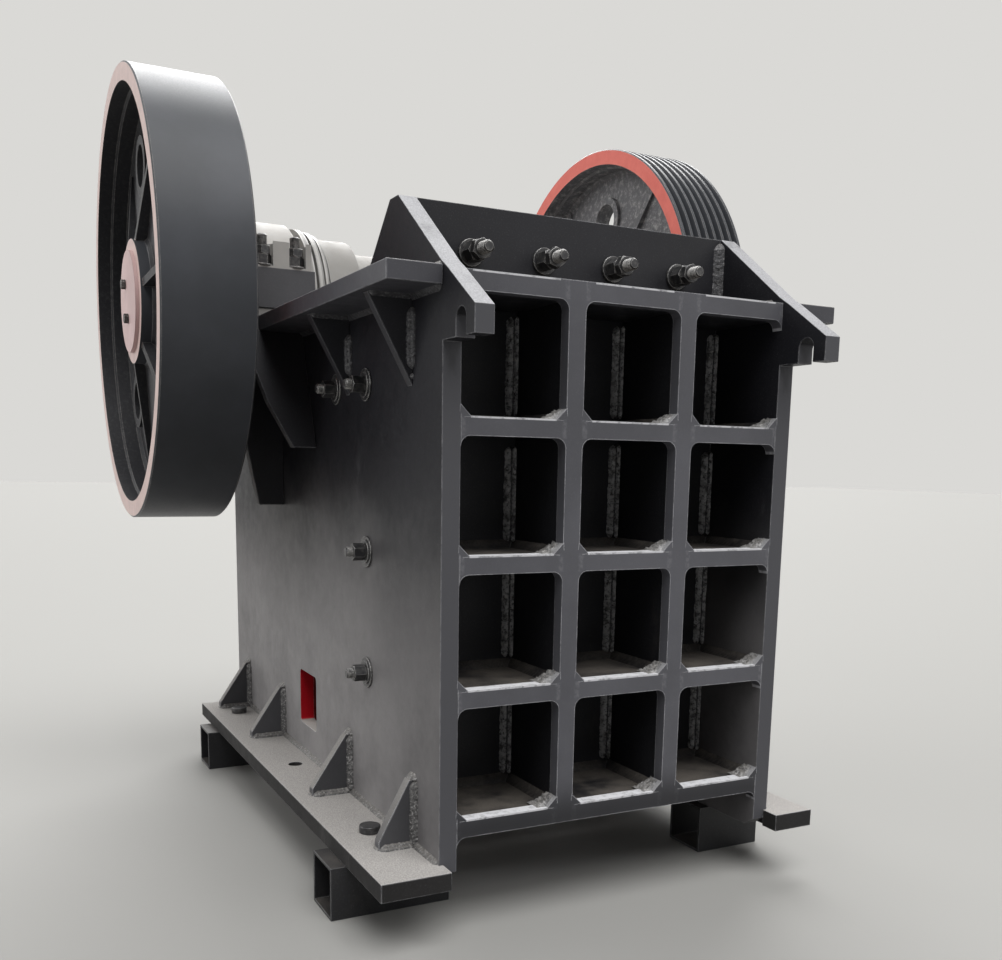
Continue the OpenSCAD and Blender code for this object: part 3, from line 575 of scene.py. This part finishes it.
class Shape:
    """Vertices and faces of one piece while it is made."""

    def __init__(self):
        self.points = []
        self.faces = []

    def strip(self, rows, closed=False):
        """Faces between rows of points; closed joins the ends of each row."""
        base = len(self.points)
        count = len(rows[0])
        for row in rows:
            self.points.extend(row)
        span = count if closed else count - 1
        for i in range(len(rows) - 1):
            for j in range(span):
                a = base + i * count + j
                b = base + i * count + (j + 1) % count
                self.faces.append((a, b, b + count, a + count))

    def fan(self, row, flip=False):
        """One flat face over a closed row."""
        base = len(self.points)
        self.points.extend(row)
        order = list(range(base, base + len(row)))
        self.faces.append(tuple(reversed(order)) if flip else tuple(order))

    def tube(self, rows):
        """Closed rows joined to a solid with flat ends."""
        self.strip(rows, closed=True)
        self.fan(rows[0], True)
        self.fan(rows[-1])

    def make(self, name, material, body="frame", sharp=50):
        """The piece as an object on that body, smooth but for edges over sharp degrees."""
        mesh = bpy.data.meshes.new(name)
        mesh.from_pydata([tuple(point) for point in self.points], [], self.faces)
        mesh.validate()
        mesh.polygons.foreach_set("use_smooth", [True] * len(mesh.polygons))
        mesh.set_sharp_from_angle(angle=math.radians(sharp))
        mesh.materials.append(material)
        piece = bpy.data.objects.new(name, mesh)
        bpy.context.scene.collection.objects.link(piece)
        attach(piece, body)
        return piece


# Weld beads: distance between rings, between ripples and between turns of the sway,
# and faces across one run
BEAD_STEP = 0.0022
BEAD_PITCH = 0.0065
SWAY_PITCH = 0.045
BEAD_SIDES = 7


def bead(shape, path, leg, seed, rough=1.0, passes=1, ends=(True, True), flat=1.0):
    """Fillet weld along path, a list of (corner, direction on one plate, direction on the other).

    passes lays that many runs side by side, ends says which ends taper off, and flat is the length
    of the second leg as a share of the first.
    """
    draw = random.Random(seed)
    lengths = [0.0]
    for (a, _, _), (b, _, _) in zip(path, path[1:]):
        lengths.append(lengths[-1] + (b - a).length)
    total = lengths[-1]
    rings = max(4, int(total / BEAD_STEP))
    sides = BEAD_SIDES if passes == 1 else 4 * passes + 1
    ripples = int(total / BEAD_PITCH) + 8
    lumps = [[draw.uniform(-0.5, 0.5) for _ in range(ripples)] for _ in range(passes)]
    sway = [draw.uniform(-1, 1) for _ in range(int(total / SWAY_PITCH) + 4)]
    rows = []
    segment = 0
    for i in range(rings + 1):
        s = total * i / rings
        while segment < len(path) - 2 and lengths[segment + 1] < s:
            segment += 1
        share = (s - lengths[segment]) / max(1e-9, lengths[segment + 1] - lengths[segment])
        (p, a, b), (q, c, d) = path[segment], path[segment + 1]
        corner = p.lerp(q, share)
        first = a.lerp(c, share).normalized()
        second = b.lerp(d, share).normalized()
        along = (q - p).normalized()
        room = min(s if ends[0] else leg, total - s if ends[1] else leg)
        end = min(1.0, math.sqrt(max(0.0, room) / leg + 0.02))
        k = int(s / SWAY_PITCH)
        drift = sway[k] + (sway[k + 1] - sway[k]) * (s / SWAY_PITCH - k)
        row = []
        for j in range(sides + 1):
            t = j / sides
            turn = t * math.pi / 2
            crown = math.sin(2 * turn)
            lane = min(passes - 1, int(passes * t))
            ridge = abs(math.sin(math.pi * passes * t)) if passes > 1 else 0.6
            phase = (s + 0.55 * leg * crown / passes) / BEAD_PITCH + 0.37 * lane
            ripple = abs(math.sin(math.pi * phase))
            step = int(phase)
            blend = phase - step
            lump = lumps[lane][step] * (1 - blend) + lumps[lane][step + 1] * blend
            fillet = 1 / (math.cos(turn) + math.sin(turn))
            relief = 0.05 * ripple * (0.3 + crown) + 0.10 * lump + 0.09 * (ridge - 0.6)
            reach = leg * end * (fillet + (0.10 + rough * relief)) * (1 + 0.07 * rough * drift)
            tilt = 1 + 0.10 * rough * drift * (t - 0.5)
            offset = (first * (reach * math.cos(turn) * tilt)
                      + second * (flat * reach * math.sin(turn) / tilt))
            row.append(corner + offset + along * (0.0015 * drift * crown))
        rows.append(row)
    shape.strip(rows)
    shape.fan([path[0][0]] + rows[0])
    shape.fan([path[-1][0]] + rows[-1], True)


def straight(shape, start, end, first, second, leg, seed, *more, **options):
    """Straight bead from start to end."""
    path = [(Vector(corner), first, second) for corner in (start, end)]
    bead(shape, path, leg, seed, *more, **options)


def ring_path(centre, radius, first_deg, last_deg, outward):
    """Path of a bead round a drum on a plate: angles in the YZ plane, 0 along +Y."""
    step_deg = 4
    path = []
    count = max(2, int(abs(last_deg - first_deg) / step_deg))
    for i in range(count + 1):
        angle = math.radians(first_deg + (last_deg - first_deg) * i / count)
        radial = Vector((0, math.cos(angle), math.sin(angle)))
        path.append((centre + radial * radius, radial, outward))
    return path


def pockets():
    """Column, row and seed of each pocket behind the lattice."""
    return [(column, row, 100 + column * 10 + row)
            for column in range(COLUMNS) for row in range(ROWS)]


def window(column, row):
    """Left edge and lower edge of a lattice window."""
    return -PLATE_IN + column * BAY, LATTICE_LOW + BAR_H + row * LEVEL


def pocket(column, row):
    """Left, right, bottom and top of a pocket between its ribs."""
    gap = (BAR_W - RIB) / 2
    edge = window(column, row)[0]
    left = edge - (gap if column > 0 else 0)
    right = edge + POCKET_W + (gap if column < COLUMNS - 1 else 0)
    bottom = LATTICE_LOW + row * LEVEL + (BAR_H + RIB) / 2
    top = LATTICE_LOW + (row + 1) * LEVEL + ((BAR_H - RIB) / 2 if row < ROWS - 1 else 0)
    return left, right, bottom, top


# Rough ridges on the pocket beads: distance from the rib, distance from the wall, and leg
RIDGES = ((0.022, 0.0, 0.015), (0.005, 0.014, 0.008))


def pocket_welds():
    """Upright beads in the back corners of each pocket, with a rough ridge along each edge."""
    shape = Shape()
    ridges = Shape()
    leg = 0.030
    for column, row, seed in pockets():
        left, right, bottom, top = pocket(column, row)
        low = bottom + 0.014 + 0.006 * (seed % 3)
        high = top - 0.010 - (0.008 * (seed % 4) if row < ROWS - 1 else 0)
        straight(shape, (right, WALL_FACE, low), (right, WALL_FACE, high), -X, -Y,
                 leg, seed, 1.9, 3, flat=0.55)
        straight(shape, (left, WALL_FACE, high), (left, WALL_FACE, low), X, -Y,
                 leg, seed + 300, 1.7, 3, flat=0.60)
        for x, out in ((right, -X), (left, X)):
            for aside, off, ridge_leg in RIDGES:
                foot = Vector((x, WALL_FACE - off, 0)) + out * aside
                straight(ridges, foot + Z * (low + 0.004), foot + Z * (high - 0.004), out, -Y,
                         ridge_leg, seed + 40 + int(off * 1000), 2.6)
    ridges.make("pocket_weld_ridges", WELD_RIDGE_HIGHLIGHT)
    shape.make("pocket_welds", WELD_POCKET_SHADED)


def sill_patch(shape, right, bottom, seed):
    """Lumpy weld over the right-hand end of a window sill, rising into the corner."""
    across, deep = 26, 22
    width, depth, rise = 0.066, 0.070, 0.027
    rows = []
    for i in range(deep + 1):
        v = i / deep
        row = []
        for j in range(across + 1):
            u = j / across
            spot = Vector((right - width * u, LATTICE_BACK - 0.034 + depth * v, bottom))
            edge = min(1.0, 6 * (1 - u), 8 * v, 5 * (1 - v))
            lump = (noise.noise(Vector((u * 9 + seed, v * 8, 0.5)))
                    + 0.6 * noise.noise(Vector((u * 21, v * 19, seed))))
            height = 0.005 + rise * max(0.0, 1 - u / 0.80) ** 1.1 + 0.0065 * lump
            row.append(spot + Z * (max(0.0005, height) * edge - 0.001))
        rows.append(row)
    shape.strip(rows)


def floor_welds():
    """Fillets along the back and the sides of each pocket floor, and a rough patch at its sill."""
    shape = Shape()
    patches = Shape()
    inset = 0.004
    how = {"rough": 0.7, "ends": (False, False)}
    for column, row, seed in pockets():
        left, right, bottom = pocket(column, row)[:3]
        straight(shape, (left + inset, WALL_FACE, bottom), (right - inset, WALL_FACE, bottom),
                 Z, -Y, 0.024, seed + 600, **how)
        straight(shape, (right, LATTICE_BACK, bottom), (right, WALL_FACE - inset, bottom),
                 Z, -X, 0.024, seed + 700, **how)
        straight(shape, (left, WALL_FACE - inset, bottom), (left, LATTICE_BACK, bottom),
                 Z, X, 0.020, seed + 800, **how)
        edge, sill = window(column, row)
        sill_patch(patches, edge + POCKET_W, sill, seed)
    shape.make("floor_welds", FRAME_SHADE)
    patches.make("sill_patches", WELD_PALE)


def window_corners():
    """Corner plates that cut off the lower corners of the windows, flush with the bars."""
    shape = Shape()
    tuck = 0.003
    proud = 0.0004
    for column, row, _ in pockets():
        left, low = window(column, row)
        for x, out in ((left, 1), (left + POCKET_W, -1)):
            outline = [(x + out * (WINDOW_CUT + tuck), low - tuck, 1.0),
                       (x - out * tuck, low + WINDOW_CUT + tuck, 1.0),
                       (x - out * 2 * tuck, low - 2 * tuck, -0.7)]
            front = [Vector((px, FRONT - proud * lift, pz)) for px, pz, lift in outline]
            back = [Vector((px, LATTICE_BACK + proud * lift, pz)) for px, pz, lift in outline]
            shape.strip([front, back] if out > 0 else [back, front], closed=True)
            shape.fan(front, out > 0)
            shape.fan(back, out < 0)
    shape.make("window_corner_plates", FRAME_LATTICE_LIT, sharp=30)


def ear_welds():
    """Upright beads between the wall and the two ears, and short ones at the noses."""
    shape = Shape()
    low = LATTICE_TOP + 0.02
    back_low = 1.80
    high = WALL_TOP - 0.012
    for side in (-1, 1):
        inward = -X * side
        x = side * PLATE_IN
        straight(shape, (x, WALL_FACE, low), (x, WALL_FACE, high), inward, -Y,
                 0.024, 40 + side, 1.3)
        straight(shape, (x, WALL_BACK, back_low), (x, WALL_BACK, high), inward, Y,
                 0.018, 50 + side)
        straight(shape, (x, LATTICE_BACK, LATTICE_TOP), (x, WALL_FACE, LATTICE_TOP), inward, Z,
                 0.016, 60 + side)
    shape.make("ear_welds", WELD)


# Brackets under the side flanges: distance from the front, and lower and upper end of their beads
BRACKETS = ((0.224, 1.563, 1.745), (0.802, 1.578, 1.720))
BRACKET_T = 0.040
BELLY_R = 0.290


def bracket_welds():
    """Beads at the side flanges and at the brackets under them."""
    shape = Shape()
    for side in (-1, 1):
        outward = X * side
        x = side * PLATE_OUT
        for number, (start, low, high) in enumerate(BRACKETS):
            y = FRONT + start
            seed = 200 + number + side * 10
            for face, direction in ((y, -Y), (y + BRACKET_T, Y)):
                straight(shape, (x, face, low), (x, face, high), outward, direction,
                         0.021, seed, 1.9, 2)
                straight(shape, (x, face, low - 0.030), (x, face, low - 0.012), outward, direction,
                         0.008, seed + 30, 1.5)
                straight(shape, (x, face, DECK_UNDER), (side * (DECK_OUT - 0.03), face, DECK_UNDER),
                         direction, -Z, 0.012, seed + 50, 1.1)
        y = DECK_FRONT + 0.01
        straight(shape, (x, y, DECK_UNDER), (x, SHAFT.y - 0.30, DECK_UNDER), outward, -Z,
                 0.014, 260 + side, 1.0)
        straight(shape, (x, y, DECK_TOP), (x, FRONT + 0.66, DECK_TOP), outward, Z,
                 0.011, 275 + side, 1.0)
        belly = ring_path(Vector((x, SHAFT.y, SHAFT.z)), BELLY_R, -170, -10, outward)
        bead(shape, belly, 0.014, 280 + side, 1.0)
    shape.make("bracket_welds", WELD)


# Foot gussets: middles from the front, thickness, height, and length along the foot by side
GUSSET_YS = (0.210, 0.835, 1.745, 2.375)
GUSSET_T = 0.040
GUSSET_H = 0.222
GUSSET_RUNS = {-1: (0.125, 0.152, 0.152, 0.152), 1: (0.110, 0.110, 0.110, 0.110)}


def foot_welds():
    """Beads along the foot plates and round the foot gussets."""
    shape = Shape()
    half = GUSSET_T / 2
    crown_z = FOOT_TOP + GUSSET_H
    for side, foot in ((-1, "foot_left"), (1, "foot_right")):
        outward = X * side
        x = side * PLATE_OUT
        stops = [FRONT + 0.004]
        for start in GUSSET_YS:
            stops += [FRONT + start - half, FRONT + start + half]
        stops.append(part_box(foot)[1].y - 0.01)
        for i in range(0, len(stops), 2):
            straight(shape, (x, stops[i], FOOT_TOP), (x, stops[i + 1], FOOT_TOP), outward, Z,
                     0.014, 400 + i + side, 1.7)
        for i, start in enumerate(GUSSET_YS):
            run = GUSSET_RUNS[side][i]
            middle = FRONT + start
            for face, direction in ((-half, -Y), (half, Y)):
                y = middle + face
                seed = 430 + i * 4 + side
                straight(shape, (x, y, FOOT_TOP + 0.01), (x, y, crown_z - 0.002),
                         outward, direction, 0.020, seed, 1.6, 2, ends=(False, True))
                straight(shape, (x, y, FOOT_TOP), (x + side * (run - 0.002), y, FOOT_TOP),
                         direction, Z, 0.018, seed + 40, 1.5, 2)
            straight(shape, (x, middle - half - 0.012, crown_z),
                     (x, middle + half + 0.012, crown_z), outward, Z, 0.016, 470 + i + side, 1.5)
            toe_x = x + side * run
            straight(shape, (toe_x, middle - half, FOOT_TOP), (toe_x, middle + half, FOOT_TOP),
                     outward, Z, 0.006, 480 + i + side, 1.3)
    shape.make("foot_welds", WELD_FOOT)


REAR_RIB_T = 0.05


def rear_welds():
    """Beads of the rear wall, its ribs, the beam and the toggle block inside the side plates."""
    shape = Shape()
    low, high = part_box("rear_wall")
    rib_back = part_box("rear_ribs")[1].y
    beam_low, beam_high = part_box("tension_beam")
    block_low, block_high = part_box("toggle_block")
    middle = (low.z + high.z) / 2
    leg = 0.016
    for side in (-1, 1):
        inward = -X * side
        x = side * PLATE_IN
        seed = 500 + side * 50
        straight(shape, (x, low.y, low.z), (x, low.y, high.z), inward, -Y, 0.018, seed)
        for z in (low.z, middle - REAR_RIB_T / 2, high.z - REAR_RIB_T):
            for edge, up in ((z, -Z), (z + REAR_RIB_T, Z)):
                straight(shape, (x, high.y, edge), (x, rib_back - 0.006, edge), inward, up,
                         leg, seed + int(edge * 10))
        for edge, up in ((beam_low.y, -Y), (beam_high.y, Y)):
            straight(shape, (x, edge, beam_low.z), (x, edge, beam_high.z), inward, up,
                     leg, seed + 7)
        straight(shape, (x, block_low.y + 0.02, block_high.z), (x, low.y, block_high.z),
                 inward, Z, leg, seed + 9)
    for z in (low.z + REAR_RIB_T, middle + REAR_RIB_T / 2):
        straight(shape, (-PLATE_IN, high.y, z), (PLATE_IN, high.y, z), Y, Z, 0.014, 590)
    shape.make("rear_welds", WELD)


# Points round bolts, nuts and threads, and the edge angle that stays hard on them
ROUND = 40
HEX_STEPS = 48
THREAD_STEPS = 28
BOLT_SHARP = 32


def turned(shape, place, profile):
    """Revolved profile, a list of (radius, height), with flat ends."""
    angles = [2 * math.pi * k / ROUND for k in range(ROUND)]
    shape.tube([[place @ Vector((radius * math.cos(angle), radius * math.sin(angle), z))
                 for angle in angles] for radius, z in profile])


def hexagon(shape, place, corner_r, low, high, turn=0.0):
    """Hexagon nut between two heights with both ends chamfered."""
    flat_r = corner_r * math.cos(math.pi / 6)
    rim_r = flat_r * 0.97
    drop = math.tan(math.radians(28))
    rows = []
    for end, sign in ((low, 1), (high, -1)):
        ring = []
        corner = []
        for k in range(HEX_STEPS):
            angle = 2 * math.pi * k / HEX_STEPS
            reach = flat_r / math.cos(angle % (math.pi / 3) - math.pi / 6)
            direction = Vector((math.cos(angle + turn), math.sin(angle + turn), 0))
            ring.append(place @ (direction * rim_r + Z * end))
            corner.append(place @ (direction * reach + Z * (end + sign * (reach - rim_r) * drop)))
        rows += [ring, corner] if sign == 1 else [corner, ring]
    shape.tube(rows)


def washer(shape, place, radius, low, high):
    lip = 0.0015
    turned(shape, place, [(radius - lip, low), (radius, low + lip),
                          (radius, high - lip), (radius - lip, high)])


def thread(shape, place, radius, low, high, pitch):
    """Screw thread as one helix from low to high, with a chamfered end."""
    depth = pitch * 0.55
    root = radius - depth
    turns = int((high - low) / pitch) - 1
    rows = []
    for k in range(turns * THREAD_STEPS + 1):
        angle = 2 * math.pi * k / THREAD_STEPS
        z = low + pitch * k / THREAD_STEPS
        direction = Vector((math.cos(angle), math.sin(angle), 0))
        rows.append([place @ (direction * root + Z * z),
                     place @ (direction * radius + Z * (z + pitch * 0.5)),
                     place @ (direction * root + Z * (z + pitch))])
    shape.strip(rows)
    top = low + pitch * (turns + 1)
    turned(shape, place, [(root, low), (root, top - pitch * 0.5),
                          (radius - 2.2 * depth, high - 0.001), (radius - 2.6 * depth, high)])


def axis_place(origin, direction, turn=0.0):
    """Matrix that puts local +Z along direction at origin."""
    rotation = Vector(direction).to_track_quat("Z", "Y").to_matrix().to_4x4()
    return Matrix.Translation(Vector(origin)) @ rotation @ Matrix.Rotation(turn, 4, "Z")


CLAMP_STUDS = 4
CLAMP_STUD_R = 0.020
CLAMP_PITCH = 0.268
CLAMP_Z = 1.945


def clamp_bolts():
    """Four clamp studs: washer, tall nut, lock nut and threaded end."""
    shape = Shape()
    for i in range(CLAMP_STUDS):
        x = (i - (CLAMP_STUDS - 1) / 2) * CLAMP_PITCH
        place = axis_place((x, WALL_FACE, CLAMP_Z), -Y, 0.35 * i)
        washer(shape, place, 0.0430, 0.0, 0.010)
        hexagon(shape, place, 0.0350, 0.012, 0.0615)
        hexagon(shape, place, 0.0340, 0.0625, 0.092, 0.35)
        turned(shape, place, [(CLAMP_STUD_R + 0.004, 0.008), (CLAMP_STUD_R + 0.004, 0.064)])
        thread(shape, place, CLAMP_STUD_R, 0.088, 0.137, 0.0042)
        tail = axis_place((x, WALL_BACK, CLAMP_Z), Y)
        turned(shape, tail, [(CLAMP_STUD_R - 0.001, -0.075), (CLAMP_STUD_R - 0.001, 0.058)])
    piece = shape.make("clamp_stud_set", BLACK, "frame", BOLT_SHARP)
    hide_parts("clamp_bolts")


CHEEK_STUD_R = 0.018
# Cheek plate bolts: distance from the front, and height
CHEEK_BOLTS = ((0.637, 1.540), (0.637, 0.976), (0.637, 0.550), (0.950, 1.540))


def cheek_bolts(side, hand):
    """Cheek plate bolts outside one side plate."""
    shape = Shape()
    for number, (y, z) in enumerate(CHEEK_BOLTS):
        place = axis_place((side * PLATE_OUT, FRONT + y, z), X * side, 0.5 * number)
        washer(shape, place, 0.0548, 0.0, 0.007)
        washer(shape, place, 0.0420, 0.0065, 0.012)
        hexagon(shape, place, 0.0306, 0.0125, 0.0550)
        turned(shape, place, [(CHEEK_STUD_R + 0.004, 0.010), (CHEEK_STUD_R + 0.004, 0.016)])
        thread(shape, place, CHEEK_STUD_R, 0.050, 0.0788, 0.0038)
        turned(shape, place, [(CHEEK_STUD_R, -0.105), (CHEEK_STUD_R, 0.0)])
    piece = shape.make("cheek_stud_set_" + hand, BLACK, "frame", BOLT_SHARP)
    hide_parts("cheek_bolts_" + hand)


BEARING_STUD_R = 0.020
# Bearing studs: distances from the middle of the machine, from the shaft, and height of their seats
BEARING_BOLTS_X = (0.660, 0.790)
BEARING_BOLTS_Y = 0.352
BEARING_POCKET_Z = 2.028


def bearing_bolts(side, hand):
    """Studs and nuts in the pockets of one bearing cap."""
    shape = Shape()
    for x in BEARING_BOLTS_X:
        for lean in (-1, 1):
            spot = (side * x, SHAFT.y + lean * BEARING_BOLTS_Y, BEARING_POCKET_Z)
            place = axis_place(spot, Z, x * 9 + lean)
            washer(shape, place, 0.0455, 0.0, 0.006)
            hexagon(shape, place, 0.0358, 0.006, 0.044)
            hexagon(shape, place, 0.0350, 0.045, 0.076, 0.4)
            thread(shape, place, BEARING_STUD_R, 0.072, 0.121, 0.0040)
    piece = shape.make("bearing_stud_set_" + hand, BLACK, "frame", BOLT_SHARP)
    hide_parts("bearing_studs_" + hand)


# Hub disc screws: offsets from the shaft along Y and Z
HUB_SCREWS = ((0.051, 0.073), (0.006, -0.065))


def hub_screws():
    """Two dark screw heads on the disc at the flywheel end of the shaft."""
    shape = Shape()
    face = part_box("hub_discs")[0].x
    for y, z in HUB_SCREWS:
        place = axis_place((face, SHAFT.y + y, SHAFT.z + z), -X, 0.4)
        hexagon(shape, place, 0.0190, -0.0085, face - cad_low.x - 0.001)
    shape.make("hub_disc_screws", SCREW, "rotor", BOLT_SHARP)


COILS = 8
COIL_R = 0.052
COIL_STEPS = 36
WIRE_R = 0.0166
WIRE_SIDES = 12


def coil_spring():
    """The tension spring as one wire wound from collar to collar."""
    shape = Shape()
    low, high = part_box("tension_spring")
    centre_z = (low.z + high.z) / 2
    start = low.y + WIRE_R
    run = high.y - low.y - 2 * WIRE_R
    rows = []
    for k in range(COILS * COIL_STEPS + 1):
        angle = 2 * math.pi * k / COIL_STEPS
        share = k / (COILS * COIL_STEPS)
        eased = share - math.sin(2 * math.pi * share) / (2 * math.pi) * 0.35
        radial = Vector((math.cos(angle), 0, math.sin(angle)))
        middle = Vector((0, start + run * eased, centre_z)) + radial * COIL_R
        row = []
        for j in range(WIRE_SIDES):
            around = 2 * math.pi * j / WIRE_SIDES
            row.append(middle + WIRE_R * (radial * math.cos(around) + Y * math.sin(around)))
        rows.append(row)
    shape.tube(rows)
    piece = shape.make("tension_coil", RED, "frame", 38)
    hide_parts("tension_spring")


pocket_welds()
floor_welds()
window_corners()
ear_welds()
bracket_welds()
foot_welds()
rear_welds()
clamp_bolts()
cheek_bolts(-1, "left")
cheek_bolts(1, "right")
bearing_bolts(-1, "left")
bearing_bolts(1, "right")
hub_screws()
coil_spring()


# Stage, light and camera
PAPER = linear(154, 153, 150)
DIM_PAPER = linear(112, 111, 109)
BACKGROUND = linear(218, 217, 214)
FLOOR_HALF = 60
SKY_TINT = (0.95, 0.97, 1.0, 1.0)
WORLD_LIGHT = 0.03
# Name, direction it comes from, strength and width in degrees
LIGHTS = (
    ("over_front", (0.0, -0.45, 0.90), 3.0, 50),
    ("over_back", (0.30, 0.62, 0.72), 2.8, 44),
    ("left_back", (-0.70, 0.60, 0.40), 0.9, 50),
    ("left", (-0.95, -0.10, 0.30), 0.70, 50),
    ("right_front", (0.75, -0.55, 0.35), 0.35, 50),
)


def choose(tree, share, first, second, output):
    """Sends the output the first shader where share is 0 and the second where it is 1."""
    mixer = tree.nodes.new("ShaderNodeMixShader")
    for socket, source in zip(mixer.inputs, (share, first, second)):
        tree.links.new(source, socket)
    tree.links.new(mixer.outputs[0], tree.nodes[output].inputs["Surface"])


def backdrop():
    """A wide pale floor that looks light but throws little light back under the object."""
    mesh = bpy.data.meshes.new("studio_floor")
    corners = [(x * FLOOR_HALF, y * FLOOR_HALF, FLOOR)
               for x, y in ((-1, -1), (1, -1), (1, 1), (-1, 1))]
    mesh.from_pydata(corners, [], [(0, 1, 2, 3)])
    floor = bpy.data.objects.new("studio_floor", mesh)
    bpy.context.scene.collection.objects.link(floor)
    material = bpy.data.materials.new("pale_floor")
    material.use_nodes = True
    tree = material.node_tree
    shown = tree.nodes["Principled BSDF"]
    shown.inputs["Base Color"].default_value = PAPER
    shown.inputs["Roughness"].default_value = 0.8
    dim = tree.nodes.new("ShaderNodeBsdfDiffuse")
    dim.inputs["Color"].default_value = DIM_PAPER
    path = tree.nodes.new("ShaderNodeLightPath")
    choose(tree, path.outputs["Is Diffuse Ray"], shown.outputs[0], dim.outputs[0],
           "Material Output")
    mesh.materials.append(material)


def surroundings():
    """Even grey light from all round; camera and reflections see a pale background instead."""
    world = bpy.data.worlds.new("studio")
    bpy.context.scene.world = world
    world.use_nodes = True
    tree = world.node_tree
    light = tree.nodes["Background"]
    light.inputs["Color"].default_value = SKY_TINT
    light.inputs["Strength"].default_value = WORLD_LIGHT
    seen = tree.nodes.new("ShaderNodeBackground")
    seen.inputs["Color"].default_value = BACKGROUND
    seen.inputs["Strength"].default_value = 1.0
    path = tree.nodes.new("ShaderNodeLightPath")
    either = tree.nodes.new("ShaderNodeMath")
    either.operation = "MAXIMUM"
    tree.links.new(path.outputs["Is Camera Ray"], either.inputs[0])
    tree.links.new(path.outputs["Is Glossy Ray"], either.inputs[1])
    choose(tree, either.outputs[0], light.outputs[0], seen.outputs[0], "World Output")


def sky(name, source, strength, spread):
    """Soft light of the same strength everywhere, from a wide disc in the direction of source."""
    data = bpy.data.lights.new(name, "SUN")
    data.energy = strength
    data.angle = math.radians(spread)
    item = bpy.data.objects.new(name, data)
    item.rotation_mode = "QUATERNION"
    item.rotation_quaternion = (-Vector(source)).to_track_quat("-Z", "Y")
    bpy.context.scene.collection.objects.link(item)


def photo_camera():
    """The photograph's viewpoint, fitted to straight edges and wheel rims of the real object."""
    image_w, image_h = 1002, 960
    focal_px = 1050.98
    centre_px = (507.17, 639.11)
    place = (-1.8943, -4.0790, 1.2868)
    yaw, pitch, roll = (math.radians(angle) for angle in (-27.46, -9.50, 1.03))
    data = bpy.data.cameras.new("photo_camera")
    data.sensor_width = 36.0
    data.lens = data.sensor_width * focal_px / image_w
    data.shift_x = (image_w / 2 - centre_px[0]) / image_w
    data.shift_y = (centre_px[1] - image_h / 2) / image_w
    data.clip_end = 200
    camera = bpy.data.objects.new("photo_camera", data)
    turn = Matrix.Rotation(yaw, 4, "Z") @ Matrix.Rotation(math.pi / 2 + pitch, 4, "X")
    camera.matrix_world = Matrix.Translation(place) @ turn @ Matrix.Rotation(roll, 4, "Z")
    bpy.context.scene.collection.objects.link(camera)
    bpy.context.scene.camera = camera


backdrop()
surroundings()
for light in LIGHTS:
    sky(*light)
photo_camera()
bpy.context.scene.view_settings.view_transform = "Standard"

bpy.context.view_layer.update()
